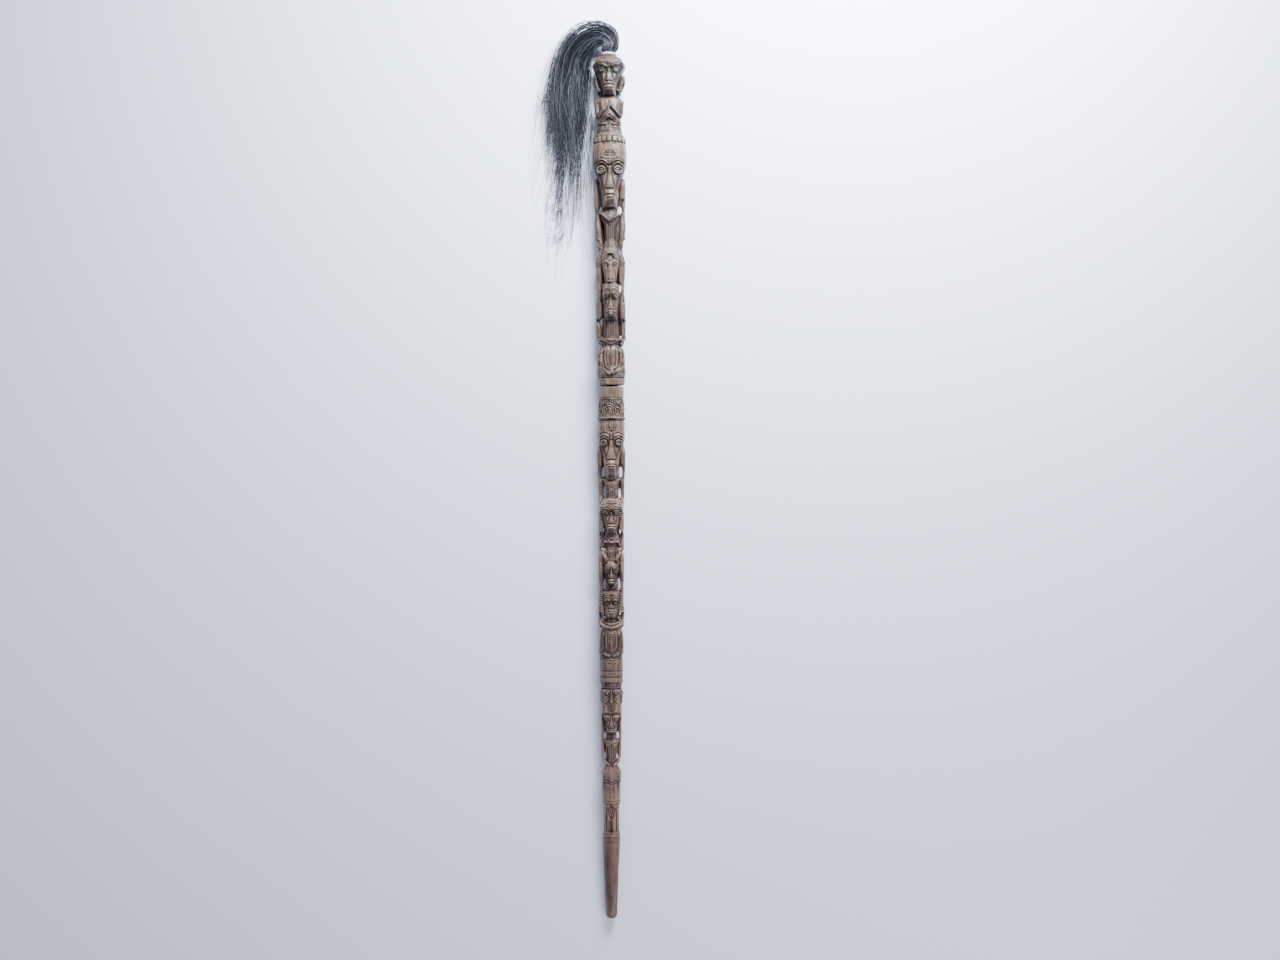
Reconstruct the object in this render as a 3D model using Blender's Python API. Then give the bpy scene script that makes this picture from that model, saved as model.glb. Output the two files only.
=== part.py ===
"""A carved shaman staff, lying on its back.

The staff runs along Y with its head towards +Y, and its faces look up, along +Z.
The upper section is one carving with a tenon that stands in a socket in the lower section.
A tuft of hair, bound with a pale cord, stands on the crown and falls to the left.
Sizes are in millimetres. A station is a height up the staff, measured from its foot.
"""

import math

import bmesh
import bpy
from mathutils import Vector

MM = 0.001

# Heights of the carved tiers, stacked from the foot up to the joint
LOWER_HEIGHTS = {
    "shaft": 182.0,
    "legs": 136.5,
    "standing_body": 69.5,
    "standing_head": 60.5,
    "small_beast": 31.0,
    "waist": 14.5,
    "double_band": 52.0,
    "squatting_legs": 57.5,
    "small_figure": 77.5,
    "narrow_figure": 83.5,
    "bearded_body": 35.0,
    "bearded_head": 77.0,
    "mask_body": 38.0,
    "mask_head": 123.5,
    "cuff": 68.0,
}

# Heights of the tiers stacked from the joint up to the crown
UPPER_HEIGHTS = {
    "leg_block": 83.5,
    "seated_body": 50.0,
    "seated_head": 75.0,
    "beast_head": 70.5,
    "long_body": 87.5,
    "long_head": 131.0,
    "collar": 21.0,
    "squatting_body": 81.0,
    "top_head": 81.0,
}

# Full widths across the staff
FOOT_WIDTH = 24.0
SHAFT_WIDTH = 35.4
LEGS_WIDTH = 31.6
SKIRT_WIDTH = 37.2
HIP_WIDTH = 40.0
STANDING_TORSO_WIDTH = 24.0
STANDING_HEAD_WIDTH = 41.6
SMALL_BEAST_WIDTH = 48.0
WAIST_WIDTH = 40.4
BAND_WIDTH = 48.8
SQUATTING_WIDTH = 50.8
SMALL_FIGURE_WIDTH = 52.0
NARROW_SHOULDER_WIDTH = 55.7
NARROW_HEAD_WIDTH = 31.2
BEARDED_WIDTH = 53.0
MASK_BODY_WIDTH = 53.5
MASK_HEAD_WIDTH = 56.4
CUFF_WIDTH = 51.6
CUFF_RIM_WIDTH = 60.0
BLOCK_WIDTH = 60.0
BLOCK_FOOT_WIDTH = 53.7
SEATED_WIDTH = 63.0
SEATED_HEAD_WIDTH = 36.6
BEAST_ARM_WIDTH = 64.0
BEAST_HEAD_WIDTH = 34.0
LONG_BODY_WIDTH = 64.5
LONG_HEAD_WIDTH = 70.7
COLLAR_WIDTH = 71.0
SQUATTING_BODY_WIDTH = 64.0
TOP_HEAD_WIDTH = 68.0

# The joint between the two sections
JOINT_GAP = 4.0
JOINT_WEDGE = 0.018
TENON_WIDTH = 20.0
TENON_LENGTH = 44.0
SOCKET_CLEARANCE = 0.7
UPPER_LEAN = 0.0077

# The webs' front, back and place behind the axis, as shares of the axis height
WEB_FRONT = 0.30
WEB_BACK = 0.42
WEB_PLACE = 0.42

# How far a gap's cutter runs in front of and behind the axis, and how deep a knob is rooted
GAP_REACH = 80.0
KNOB_ROOT = 3.0

# How deep the flats along the back are cut, so that the staff lies still
FLAT_DEPTH = 1.2

# The collar's and the cuff's carving
COLLAR_BLOCKS = 18
CUFF_SCROLLS = 6

# The hair and its binding
BINDING_WIDTH = 32.0
BINDING_THICKNESS = 4.2
BINDING_HEIGHT = 6.0
TOUCH_GAP = 0.3
PLUME_RISE = 69.0
PLUME_REACH = 118.0
PLUME_DROP = 356.0
PLUME_THICKNESS = 26.0

# Sides of the round shapes, and the share of its triangles that each carving keeps
ROUND_SIDES = 16
HEAD_SIDES = 12
BODY_SIDES = 10
BAR_SIDES = 6
LOWER_KEPT = 0.29
UPPER_KEPT = 0.272

WOOD_COLOUR = (0.23, 0.175, 0.14, 1.0)
HAIR_COLOUR = (0.02, 0.022, 0.028, 1.0)
BINDING_COLOUR = (0.55, 0.53, 0.52, 1.0)

# Each line gives a height on the face, then half width, front and back, all as shares of the head
FACE_PROFILE = (
    (0.00, 0.40, 0.62, 0.40),
    (0.08, 0.45, 0.87, 0.58),
    (0.24, 0.52, 0.88, 0.76),
    (0.38, 0.65, 0.83, 0.88),
    (0.52, 0.82, 0.77, 0.95),
    (0.63, 0.95, 0.79, 1.00),
    (0.70, 1.00, 0.93, 1.00),
    (0.88, 1.00, 0.97, 1.00),
    (1.00, 0.94, 0.90, 0.96),
)
ROUND_CROWN = (
    (0.78, 1.00, 0.95, 1.00),
    (0.89, 0.86, 0.84, 0.88),
    (0.96, 0.68, 0.66, 0.70),
    (1.00, 0.52, 0.50, 0.54),
)


def stack(heights, start):
    """Gives each tier its lowest and highest station."""
    spans = {}
    for name, height in heights.items():
        spans[name] = (start, start + height)
        start += height
    return spans


TIERS = stack(LOWER_HEIGHTS, 0.0)
JOINT = TIERS["cuff"][1]
TIERS.update(stack(UPPER_HEIGHTS, JOINT + JOINT_GAP))
CROWN = TIERS["top_head"][1]
ORIGIN = 0.5 * (TIERS["cuff"][0] + TIERS["cuff"][1])


def at(tier, share):
    low, high = TIERS[tier]
    return low + (high - low) * share


# The axis lies this high above the floor, so that the cuffs, bands and shaft all reach the floor
AXIS_POINTS = (
    (0.0, 0.5 * FOOT_WIDTH),
    (at("shaft", 1.0), 0.5 * SHAFT_WIDTH),
    (at("double_band", 0.5), 0.5 * BAND_WIDTH),
    (at("cuff", 0.1), 0.5 * CUFF_RIM_WIDTH),
    (at("collar", 0.5), 0.5 * COLLAR_WIDTH),
    (CROWN, 0.5 * COLLAR_WIDTH),
)


def blend(table, value, column=1):
    """Reads a table of rising first values by straight lines between its rows."""
    for low, high in zip(table, table[1:]):
        if value <= high[0]:
            share = (value - low[0]) / (high[0] - low[0])
            return low[column] + (high[column] - low[column]) * max(share, 0.0)
    return table[-1][column]


def log_radius(station):
    return blend(AXIS_POINTS, station)


def axis_height(station):
    return log_radius(station) - FLAT_DEPTH


def place(x, station, depth, level=None):
    """World position of a point right of, up and in front of the staff's axis."""
    lean = UPPER_LEAN * max(0.0, station - JOINT)
    height = axis_height(station if level is None else level)
    return Vector(((x - lean) * MM, (station - ORIGIN) * MM, (height + depth) * MM))


def skin(rings):
    """A closed solid through rings of equally many points."""
    count = len(rings[0])
    points = [point for ring in rings for point in ring]
    faces = [tuple(range(count)), tuple(range(len(points) - count, len(points)))]
    for level in range(len(rings) - 1):
        for k in range(count):
            a = level * count + k
            b = level * count + (k + 1) % count
            faces.append((a, b, b + count, a + count))
    return points, faces


def section(station, half, front, back, x=0.0, depth=0.0, sides=HEAD_SIDES, power=2.0, tilt=0.0):
    """One cross-section, an oval squared off by power, as deep in front and behind as given."""
    ring = []
    for k in range(sides):
        angle = 2.0 * math.pi * k / sides
        across = math.cos(angle)
        ahead = math.sin(angle)
        reach = front if ahead > 0.0 else back
        px = half * math.copysign(abs(across) ** (2.0 / power), across)
        pd = reach * math.copysign(abs(ahead) ** (2.0 / power), ahead)
        ring.append(place(x + px, station + tilt * px, depth + pd, station))
    return ring


def loft(rows, sides=BODY_SIDES, power=2.2, x=0.0, depth=0.0):
    """A solid from rows of station, half width, front and back."""
    return skin([section(*row, x=x, depth=depth, sides=sides, power=power) for row in rows])


def bar(path, radii, sides=BAR_SIDES):
    """A limb along a path of (x, station, depth), as thick as radii say at each of its points."""
    points = [place(*point) for point in path]
    if not hasattr(radii, "__len__"):
        radii = [radii] * len(points)
    side = Vector((0.31, 0.12, 0.94))
    rings = []
    for k, point in enumerate(points):
        ahead = points[min(k + 1, len(points) - 1)] - points[max(k - 1, 0)]
        ahead.normalize()
        side = (side - ahead * side.dot(ahead)).normalized()
        other = ahead.cross(side)
        ring = []
        for n in range(sides):
            angle = 2.0 * math.pi * n / sides
            ring.append(point + (side * math.cos(angle) + other * math.sin(angle)) * radii[k] * MM)
        rings.append(ring)
    return skin(rings)


def ringed(start, end, radius, rings, sides=BAR_SIDES + 2):
    """A wrist or forearm cut with rings: its radius steps in and out along its length."""
    path = []
    radii = []
    steps = 2 * rings
    for k in range(steps + 1):
        share = k / steps
        path.append(tuple(a + (b - a) * share for a, b in zip(start, end)))
        radii.append(radius * (0.86 if k % 2 else 1.0))
    return bar(path, radii, sides)


def boss(x, station, depth, radius, height, turn=0.0, sides=8, sink=KNOB_ROOT):
    """A round knob that stands on the surface and looks out at an angle round the staff."""
    out = (math.sin(turn), math.cos(turn))
    rings = []
    for lift, share in ((-sink, 1.0), (0.55 * height, 1.0), (height, 0.62)):
        ring = []
        for k in range(sides):
            angle = 2.0 * math.pi * (k + 0.5) / sides
            flat = radius * share * math.cos(angle)
            px = x + out[0] * lift + out[1] * flat
            pd = depth + out[1] * lift - out[0] * flat
            ring.append(place(px, station + radius * share * math.sin(angle), pd, station))
        rings.append(ring)
    return skin(rings)


class Head:
    """A mask-like head between two stations, with the shares of FACE_PROFILE."""

    def __init__(self, base, top, width, front=None, back=None, round_crown=False, taper=1.0):
        middle = 0.5 * (base + top)
        self.base = base
        self.height = top - base
        self.half = 0.5 * width
        self.front = log_radius(middle) if front is None else front
        self.back = axis_height(middle) - 0.5 if back is None else back
        self.sides = HEAD_SIDES
        profile = FACE_PROFILE
        if round_crown:
            profile = FACE_PROFILE[:7] + ROUND_CROWN
        self.profile = []
        for share, half, ahead, behind in profile:
            if share < 0.7:
                half = 1.0 - (1.0 - half) * taper
            self.profile.append((share, half, ahead, behind))
        self.power = 2.3

    def body(self):
        rows = []
        for share, half, front, back in self.profile:
            station = self.base + self.height * share
            rows.append((station, self.half * half, self.front * front, self.back * back))
        return loft(rows, self.sides, self.power)

    def point(self, across, share, lift=0.0):
        """A point of the face, across and up as shares of the head, and the way that it looks."""
        half = self.half * blend(self.profile, share, 1)
        front = self.front * blend(self.profile, share, 2)
        x = self.half * across
        inside = max(0.02, 1.0 - abs(x / half) ** self.power)
        depth = front * inside ** (1.0 / self.power)
        turn = math.atan2(
            math.copysign(abs(x / half) ** (self.power - 1.0), x) / half,
            inside ** 0.57 / front,
        )
        return (x, self.base + self.height * share, depth + lift), turn

    def eye(self, across, share, radius, height):
        (x, station, depth), turn = self.point(across, share)
        return boss(x, station, depth, self.half * radius, self.half * height, 0.8 * turn)

    def ridge(self, places, radius, lift=0.0, sides=5):
        path = [self.point(across, share, lift)[0] for across, share in places]
        return bar(path, self.half * radius, sides)

    def nose(self, top, bottom, wide, high):
        rows = []
        steps = ((top, 0.32, 0.35), (0.5 * (top + bottom), 0.6, 0.75), (bottom, 1.0, 1.0))
        for share, width, rise in steps:
            (_, station, depth), _ = self.point(0.0, share)
            rows.append((station, self.half * wide * width, depth + self.front * high * rise, -depth + 2.5))
        low = rows[-1]
        rows.append((low[0] - 0.02 * self.height, 0.8 * low[1], low[2] - 0.5 * self.front * high, low[3]))
        return loft(rows[::-1], sides=6, power=1.7)


def face(head, eye=0.27, eye_place=(0.5, 0.585), nose=(0.68, 0.29), nose_width=0.27, mouth=0.19, ears=True):
    """The head and the carving of its face: brows, ringed eyes, nose, lips and ears."""
    pieces = [head.body()]
    pieces.append(head.nose(nose[0], nose[1], nose_width, 0.17))
    for side in (-1, 1):
        pieces.append(head.eye(side * eye_place[0], eye_place[1], eye, 0.10))
        brow = [(0.05, 0.655), (0.35, 0.715), (0.66, 0.725), (0.90, 0.69)]
        pieces.append(head.ridge([(side * v, u) for v, u in brow], 0.075))
        if ears:
            ear = [(0.80, 0.40), (0.90, 0.47), (0.93, 0.60)]
            path = [(side * v * head.half, head.base + u * head.height, 0.1 * head.front) for v, u in ear]
            pieces.append(bar(path, 0.11 * head.half))
    lip = [(-0.30, mouth + 0.01), (0.0, mouth), (0.30, mouth + 0.01)]
    pieces.append(head.ridge(lip, 0.07))
    lower = [(-0.22, mouth - 0.055), (0.0, mouth - 0.07), (0.22, mouth - 0.055)]
    pieces.append(head.ridge(lower, 0.06))
    return pieces


def limb(tier, places, radius, sides=BAR_SIDES):
    """A pair of limbs, left and right, through places of (x, share of the tier, depth)."""
    pieces = []
    for side in (-1, 1):
        path = [(side * x, at(tier, share), depth) for x, share, depth in places]
        pieces.append(bar(path, radius, sides))
    return pieces


def wrist(tier, start, end, radius, rings):
    """A pair of ringed wrists between two places of (x, share of the tier, depth)."""
    pieces = []
    for side in (-1, 1):
        ends = [(side * x, at(tier, share), depth) for x, share, depth in (start, end)]
        pieces.append(ringed(ends[0], ends[1], radius, rings))
    return pieces


def web(tier, low, high, half):
    """The wood left behind a pair of limbs: it joins them to the body along the tier's back."""
    deep = axis_height(at(tier, 0.5 * (low + high)))
    rows = []
    for share, size in ((low, 0.8), (low + 0.08, 1.0), (high - 0.08, 1.0), (high, 0.8)):
        rows.append((at(tier, share), size * half, WEB_FRONT * deep, WEB_BACK * deep))
    return loft(rows, 8, 3.2, depth=-WEB_PLACE * deep)


def gap(tier, x, share, wide, tall):
    """A cutter straight through from front to back: place across and half width in mm, the rest shares."""
    middle = at(tier, share)
    half = 0.5 * tall * (TIERS[tier][1] - TIERS[tier][0])
    rings = []
    for depth in (-GAP_REACH, GAP_REACH):
        ring = []
        for k in range(8):
            angle = 2.0 * math.pi * (k + 0.5) / 8
            ring.append(place(x + wide * math.cos(angle), middle + half * math.sin(angle), depth, middle))
        rings.append(ring)
    return skin(rings)


def tier_loft(tier, rows, sides=BODY_SIDES, power=2.2, x=0.0, depth=0.0):
    """A solid from rows of share of the tier, half width, front and back."""
    return loft([(at(tier, row[0]), *row[1:]) for row in rows], sides, power, x, depth)


def shaft():
    """The plain round foot: a worn round end, a straight taper and a small ledge below the legs."""
    foot = 0.5 * FOOT_WIDTH
    rows = []
    for angle in (12.0, 35.0, 62.0, 90.0):
        turn = math.radians(angle)
        rows.append(((1.0 - math.cos(turn)) * 0.9 * foot, foot * (0.45 + 0.55 * math.sin(turn))))
    top = 0.5 * SHAFT_WIDTH
    rows.append((at("shaft", 0.60), foot + (top - foot) * 0.72))
    rows.append((at("shaft", 0.975), top))
    rows.append((at("shaft", 1.0), 0.93 * top))
    return [loft([(s, r, r, r) for s, r in rows], ROUND_SIDES, 2.0)]


def standing_legs():
    """Two legs, a wrap with a hanging point, hips and a narrow waist."""
    tier = "legs"
    half = 0.5 * LEGS_WIDTH
    skirt = 0.5 * SKIRT_WIDTH
    hip = 0.5 * HIP_WIDTH
    deep = axis_height(at(tier, 0.5)) - 0.6
    leg = [(-0.03, 0.60 * half, 0.98 * half, 0.86 * half), (0.44, 0.60 * half, 0.98 * half, 0.95 * half)]
    pieces = [tier_loft(tier, leg, 8, 2.6, x=side * 0.40 * half) for side in (-1, 1)]
    pieces.append(
        tier_loft(
            tier,
            [(-0.03, 0.5 * half, 0.80 * half, 0.8 * half), (0.44, 0.5 * half, 0.84 * half, 0.8 * half)],
            8,
        )
    )
    pieces.append(
        tier_loft(
            tier,
            [
                (0.375, 0.92 * half, 0.88 * half, 0.9 * half),
                (0.43, 0.97 * skirt, 0.9 * skirt, 0.88 * deep),
                (0.62, skirt, 0.95 * skirt, deep),
                (0.79, skirt, 0.93 * skirt, deep),
                (0.87, hip, 0.92 * hip, deep),
                (0.94, 0.93 * hip, 0.86 * hip, 0.95 * deep),
                (1.01, 0.74 * hip, 0.72 * hip, 0.8 * deep),
            ],
            HEAD_SIDES,
            2.3,
        )
    )
    point = [
        (0.20, 0.10 * half, 0.92 * half, 0.0),
        (0.34, 0.42 * half, 1.02 * half, 0.0),
        (0.47, 0.8 * half, 1.08 * half, 0.0),
    ]
    pieces.append(tier_loft(tier, point, 6, 2.0))
    pieces += limb(tier, [(0.62 * hip, 0.95, 0.40 * hip), (0.64 * hip, 0.76, 0.42 * hip)], 0.40 * hip)
    return pieces


def standing_figure():
    """A slim figure: hands that meet on its belly, open gaps at its sides and a long face."""
    tier = "standing_body"
    torso = 0.5 * STANDING_TORSO_WIDTH
    half = 0.5 * STANDING_HEAD_WIDTH
    pieces = [
        tier_loft(
            tier,
            [
                (-0.12, 1.15 * torso, 1.05 * torso, 1.2 * torso),
                (0.12, 0.95 * torso, 0.95 * torso, 1.2 * torso),
                (0.45, 1.0 * torso, 1.0 * torso, 1.3 * torso),
                (0.62, 1.15 * torso, 1.05 * torso, 1.35 * torso),
                (0.74, 1.50 * torso, 0.95 * torso, 1.2 * torso),
                (0.82, 1.00 * torso, 0.70 * torso, 1.1 * torso),
                (1.10, 0.72 * torso, 0.65 * torso, 1.0 * torso),
            ],
        )
    ]
    arm = 0.165 * half
    pieces += limb(
        tier,
        [
            (0.84 * half, 0.76, 0.0),
            (0.83 * half, 0.30, 1.0),
            (0.66 * half, 0.13, 7.0),
            (0.08 * half, 0.02, 13.5),
        ],
        [arm, arm, arm, 0.9 * arm],
    )
    pieces += limb(
        tier,
        [(0.86 * half, 1.75, 1.0), (0.90 * half, 1.30, 0.0), (0.87 * half, 0.70, -1.0)],
        0.165 * half,
    )
    pieces.append(web(tier, 0.05, 1.1, 0.82 * half))
    pieces.append(web("standing_head", -0.1, 0.8, 0.86 * half))
    head = Head(at("standing_head", 0.0), at("standing_head", 1.03), STANDING_HEAD_WIDTH, taper=0.8)
    return pieces + face(head, eye=0.22, eye_place=(0.5, 0.50), nose=(0.56, 0.18), mouth=0.10, ears=False)


def small_beast():
    """A crouching beast's face, as wide as the staff, below the waist and the double band."""
    tier = "small_beast"
    half = 0.5 * SMALL_BEAST_WIDTH
    deep = axis_height(at(tier, 0.5)) - 0.5
    rows = [
        (-0.10, 0.84 * half, 0.80 * half, 0.9 * deep),
        (0.15, 0.98 * half, 0.88 * half, deep),
        (0.90, half, 0.86 * half, deep),
        (1.00, 0.95 * half, 0.80 * half, 0.95 * deep),
    ]
    pieces = [tier_loft(tier, rows, HEAD_SIDES, 2.4)]
    snout = [
        (0.02, 0.42 * half, 1.03 * half, 0.0),
        (0.30, 0.34 * half, 1.02 * half, 0.0),
        (0.95, 0.16 * half, 0.93 * half, 0.0),
    ]
    pieces.append(tier_loft(tier, snout, 8, 2.2))
    for side in (-1, 1):
        pieces.append(
            boss(side * 0.40 * half, at(tier, 0.74), 0.78 * half, 0.16 * half, 0.10 * half, side * 0.3)
        )
    pieces += limb(
        tier,
        [(0.86 * half, 0.92, 5.0), (0.84 * half, 0.15, 8.0), (0.50 * half, -0.06, 0.66 * half)],
        0.16 * half,
    )
    return pieces


def double_band():
    """The waist's taper and the drum above it, cut round with grooves."""
    tier = "double_band"
    half = 0.5 * BAND_WIDTH
    waist = 0.5 * WAIST_WIDTH
    rows = [
        (at("waist", -0.10), waist, waist, waist),
        (at("waist", 0.85), 0.93 * half, 0.93 * half, 0.93 * half),
    ]
    rows.append((at("waist", 0.97), 0.90 * half, 0.90 * half, 0.90 * half))
    for low, high in ((0.03, 0.215), (0.255, 0.43), (0.49, 0.97)):
        for share, size in ((low, 1.0), (high, 1.0), (high + 0.02, 0.955)):
            rows.append((at(tier, share), size * half, size * half, size * half))
    rows.append((at(tier, 1.04), 0.95 * half, 0.95 * half, 0.95 * half))
    return [loft(rows, ROUND_SIDES, 2.0)]


def squatting_legs():
    """Drawn-up legs either side of a belly, with feet that point down to the middle."""
    tier = "squatting_legs"
    half = 0.5 * SQUATTING_WIDTH
    deep = axis_height(at(tier, 0.5)) - 0.5
    rows = [
        (-0.02, 0.90 * half, 0.86 * half, 0.93 * deep),
        (0.50, 0.90 * half, 0.84 * half, deep),
        (0.92, 0.90 * half, 0.84 * half, deep),
        (1.04, 0.80 * half, 0.78 * half, 0.9 * deep),
    ]
    pieces = [tier_loft(tier, rows, HEAD_SIDES, 2.4)]
    pieces += limb(
        tier,
        [
            (0.66 * half, 0.13, 0.30 * half),
            (0.66 * half, 0.60, 0.34 * half),
            (0.62 * half, 0.93, 0.34 * half),
        ],
        [0.36 * half, 0.36 * half, 0.32 * half],
        8,
    )
    pieces += limb(tier, [(0.62 * half, 0.16, 0.62 * half), (0.08 * half, 0.03, 0.84 * half)], 0.17 * half)
    belly = [
        (0.12, 0.24 * half, 0.93 * half, 0.0),
        (0.55, 0.34 * half, 0.97 * half, 0.0),
        (0.92, 0.30 * half, 0.90 * half, 0.0),
    ]
    pieces.append(tier_loft(tier, belly, 8, 2.4))
    return pieces


def small_figure():
    """A small face held between ringed hands, above a band that curves like a bowl's rim."""
    tier = "small_figure"
    half = 0.5 * SMALL_FIGURE_WIDTH
    deep = axis_height(at(tier, 0.5)) - 0.8
    rows = [
        (-0.04, 0.80 * half, 0.78 * half, 0.86 * deep),
        (0.05, 0.84 * half, 0.74 * half, 0.86 * deep),
        (0.12, 0.66 * half, 0.62 * half, 0.8 * deep),
        (0.30, 0.60 * half, 0.60 * half, 0.8 * deep),
        (0.44, 0.56 * half, 0.56 * half, 0.8 * deep),
    ]
    pieces = [tier_loft(tier, rows, BODY_SIDES, 2.2)]
    rim = [
        (-0.83, 0.16, 0.40),
        (-0.52, 0.09, 0.74),
        (0.0, 0.05, 0.92),
        (0.52, 0.09, 0.74),
        (0.83, 0.16, 0.40),
    ]
    pieces.append(bar([(x * half, at(tier, u), d * half) for x, u, d in rim], 0.14 * half))
    pieces.append(web(tier, 0.0, 1.0, 0.86 * half))
    head = Head(at(tier, 0.30), at(tier, 1.02), 0.74 * SMALL_FIGURE_WIDTH, taper=0.6)
    pieces += face(head, eye=0.20, eye_place=(0.42, 0.60), nose=(0.66, 0.34), mouth=0.22, ears=False)
    pieces += limb(
        tier,
        [(0.90 * half, 0.60, 0.0), (0.91 * half, 0.32, 0.0), (0.88 * half, 0.06, 2.0)],
        [0.17 * half, 0.10 * half, 0.12 * half],
    )
    pieces += limb(tier, [(0.84 * half, 0.18, 8.0), (0.50 * half, 0.34, 12.0)], 0.13 * half)
    pieces += wrist(
        tier,
        (0.74 * half, 0.46, 0.16 * half),
        (0.74 * half, 0.98, 0.16 * half),
        0.27 * half,
        4,
    )
    return pieces


def narrow_figure():
    """A narrow face under a bowl-like crown, with long arms that stand clear of its sides."""
    tier = "narrow_figure"
    half = 0.5 * NARROW_SHOULDER_WIDTH
    deep = axis_height(at(tier, 0.6)) - 1.0
    spine = 0.5 * NARROW_HEAD_WIDTH
    rows = [
        (-0.06, 0.90 * spine, 0.80 * spine, 0.9 * deep),
        (0.12, 0.84 * spine, 0.80 * spine, 0.9 * deep),
        (0.40, 0.86 * spine, 0.70 * spine, 0.9 * deep),
        (0.62, 0.60 * half, 0.50 * half, 0.9 * deep),
        (0.70, 0.90 * half, 0.50 * half, 0.92 * deep),
        (0.84, 0.86 * half, 0.55 * half, 0.92 * deep),
        (1.03, 0.78 * half, 0.60 * half, 0.88 * deep),
    ]
    pieces = [tier_loft(tier, rows, HEAD_SIDES, 2.2)]
    pieces.append(web(tier, -0.05, 1.0, 0.84 * half))
    head = Head(
        at(tier, 0.17),
        at(tier, 0.79),
        NARROW_HEAD_WIDTH,
        back=0.5 * deep,
        round_crown=True,
        taper=0.8,
    )
    pieces += face(head, eye=0.30, eye_place=(0.60, 0.56), nose=(0.74, 0.30), mouth=0.16, ears=False)
    pieces += limb(
        tier,
        [
            (0.76 * half, 0.97, 0.36 * half),
            (0.80 * half, 0.70, 0.26 * half),
            (0.80 * half, 0.40, 0.04 * half),
            (0.78 * half, 0.30, 0.0),
        ],
        [0.20 * half, 0.20 * half, 0.19 * half, 0.16 * half],
        8,
    )
    pieces += limb(
        tier,
        [(0.78 * half, 0.33, 0.0), (0.77 * half, 0.14, 0.0), (0.76 * half, -0.06, 1.0)],
        0.16 * half,
    )
    collar = [
        (-0.40, 0.26, 0.24),
        (-0.22, 0.12, 0.40),
        (0.0, 0.07, 0.45),
        (0.22, 0.12, 0.40),
        (0.40, 0.26, 0.24),
    ]
    pieces.append(bar([(x * half, at(tier, u), d * half) for x, u, d in collar], 0.10 * half, 5))
    pieces += limb(tier, [(0.30 * half, 0.80, 0.74 * half), (0.66 * half, 0.99, 0.56 * half)], 0.14 * half)
    return pieces


def bearded_figure():
    """A capped face between ringed hands, with knobbed elbows and a sunk panel below."""
    tier = "bearded_body"
    half = 0.5 * BEARDED_WIDTH
    deep = axis_height(at(tier, 0.5)) - 1.0
    rows = [
        (-0.15, 0.74 * half, 0.62 * half, 0.9 * deep),
        (0.20, 0.78 * half, 0.60 * half, 0.92 * deep),
        (0.70, 0.66 * half, 0.62 * half, 0.92 * deep),
        (1.20, 0.50 * half, 0.60 * half, 0.88 * deep),
    ]
    pieces = [tier_loft(tier, rows, BODY_SIDES, 2.2)]
    pieces += limb(
        tier,
        [(0.84 * half, 1.35, 0.0), (0.88 * half, 0.80, 0.0), (0.80 * half, 0.08, 3.0)],
        [0.11 * half, 0.12 * half, 0.20 * half],
    )
    pieces += limb(
        tier,
        [(0.80 * half, 0.10, 3.0), (0.52 * half, 0.62, 0.60 * half), (-0.05 * half, 0.55, 0.72 * half)],
        0.12 * half,
    )
    for side in (-1, 1):
        pieces.append(
            boss(
                side * 0.66 * half,
                at(tier, 0.10),
                0.42 * half,
                0.23 * half,
                0.20 * half,
                side * 0.7,
                sink=10.0,
            )
        )
    pieces.append(web(tier, -0.1, 1.2, 0.86 * half))
    pieces.append(web("bearded_head", -0.05, 0.85, 0.90 * half))
    head = Head(
        at("bearded_head", 0.0),
        at("bearded_head", 1.0),
        0.97 * BEARDED_WIDTH,
        round_crown=True,
        taper=0.9,
    )
    pieces += face(
        head,
        eye=0.16,
        eye_place=(0.36, 0.60),
        nose=(0.66, 0.32),
        nose_width=0.25,
        mouth=0.235,
        ears=False,
    )
    tier = "bearded_head"
    pieces += wrist(tier, (0.78 * half, 0.08, 4.0), (0.78 * half, 0.62, 5.0), 0.25 * half, 4)
    return pieces


def mask_figure():
    """The lower section's long mask, roped strands beside its chin and a body between open gaps."""
    tier = "mask_body"
    half = 0.5 * MASK_BODY_WIDTH
    deep = 0.62 * axis_height(at(tier, 0.5))
    rows = [
        (-0.25, 0.42 * half, 0.50 * half, 0.9 * deep),
        (0.10, 0.44 * half, 0.56 * half, deep),
        (0.75, 0.56 * half, 0.62 * half, deep),
        (0.98, 0.80 * half, 0.52 * half, 0.9 * deep),
        (1.12, 0.42 * half, 0.42 * half, 0.9 * deep),
        (1.60, 0.36 * half, 0.36 * half, 1.2 * deep),
    ]
    pieces = [tier_loft(tier, rows, BODY_SIDES, 2.3)]
    pieces += limb(
        tier,
        [
            (0.82 * half, 1.02, 2.0),
            (0.87 * half, 0.80, 1.0),
            (0.86 * half, 0.20, 0.0),
            (0.82 * half, -0.30, 0.0),
        ],
        [0.13 * half, 0.16 * half, 0.14 * half, 0.17 * half],
    )
    pieces.append(web(tier, -0.3, 1.1, 0.84 * half))
    pieces.append(web("mask_head", 0.0, 0.55, 0.94 * half))
    head = Head(at("mask_head", 0.0), at("mask_head", 1.03), MASK_HEAD_WIDTH, taper=0.92)
    pieces += face(
        head,
        eye=0.26,
        eye_place=(0.55, 0.60),
        nose=(0.72, 0.33),
        nose_width=0.34,
        mouth=0.245,
        ears=False,
    )
    wide = 0.5 * CUFF_RIM_WIDTH
    tier = "mask_head"
    pieces += limb(
        tier,
        [
            (0.80 * wide, 0.56, 3.0),
            (0.79 * wide, 0.44, 4.0),
            (0.79 * wide, 0.26, 2.0),
            (0.84 * wide, 0.12, 0.0),
            (0.79 * wide, -0.03, 0.0),
        ],
        [0.12 * wide, 0.20 * wide, 0.19 * wide, 0.10 * wide, 0.12 * wide],
    )
    return pieces


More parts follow.
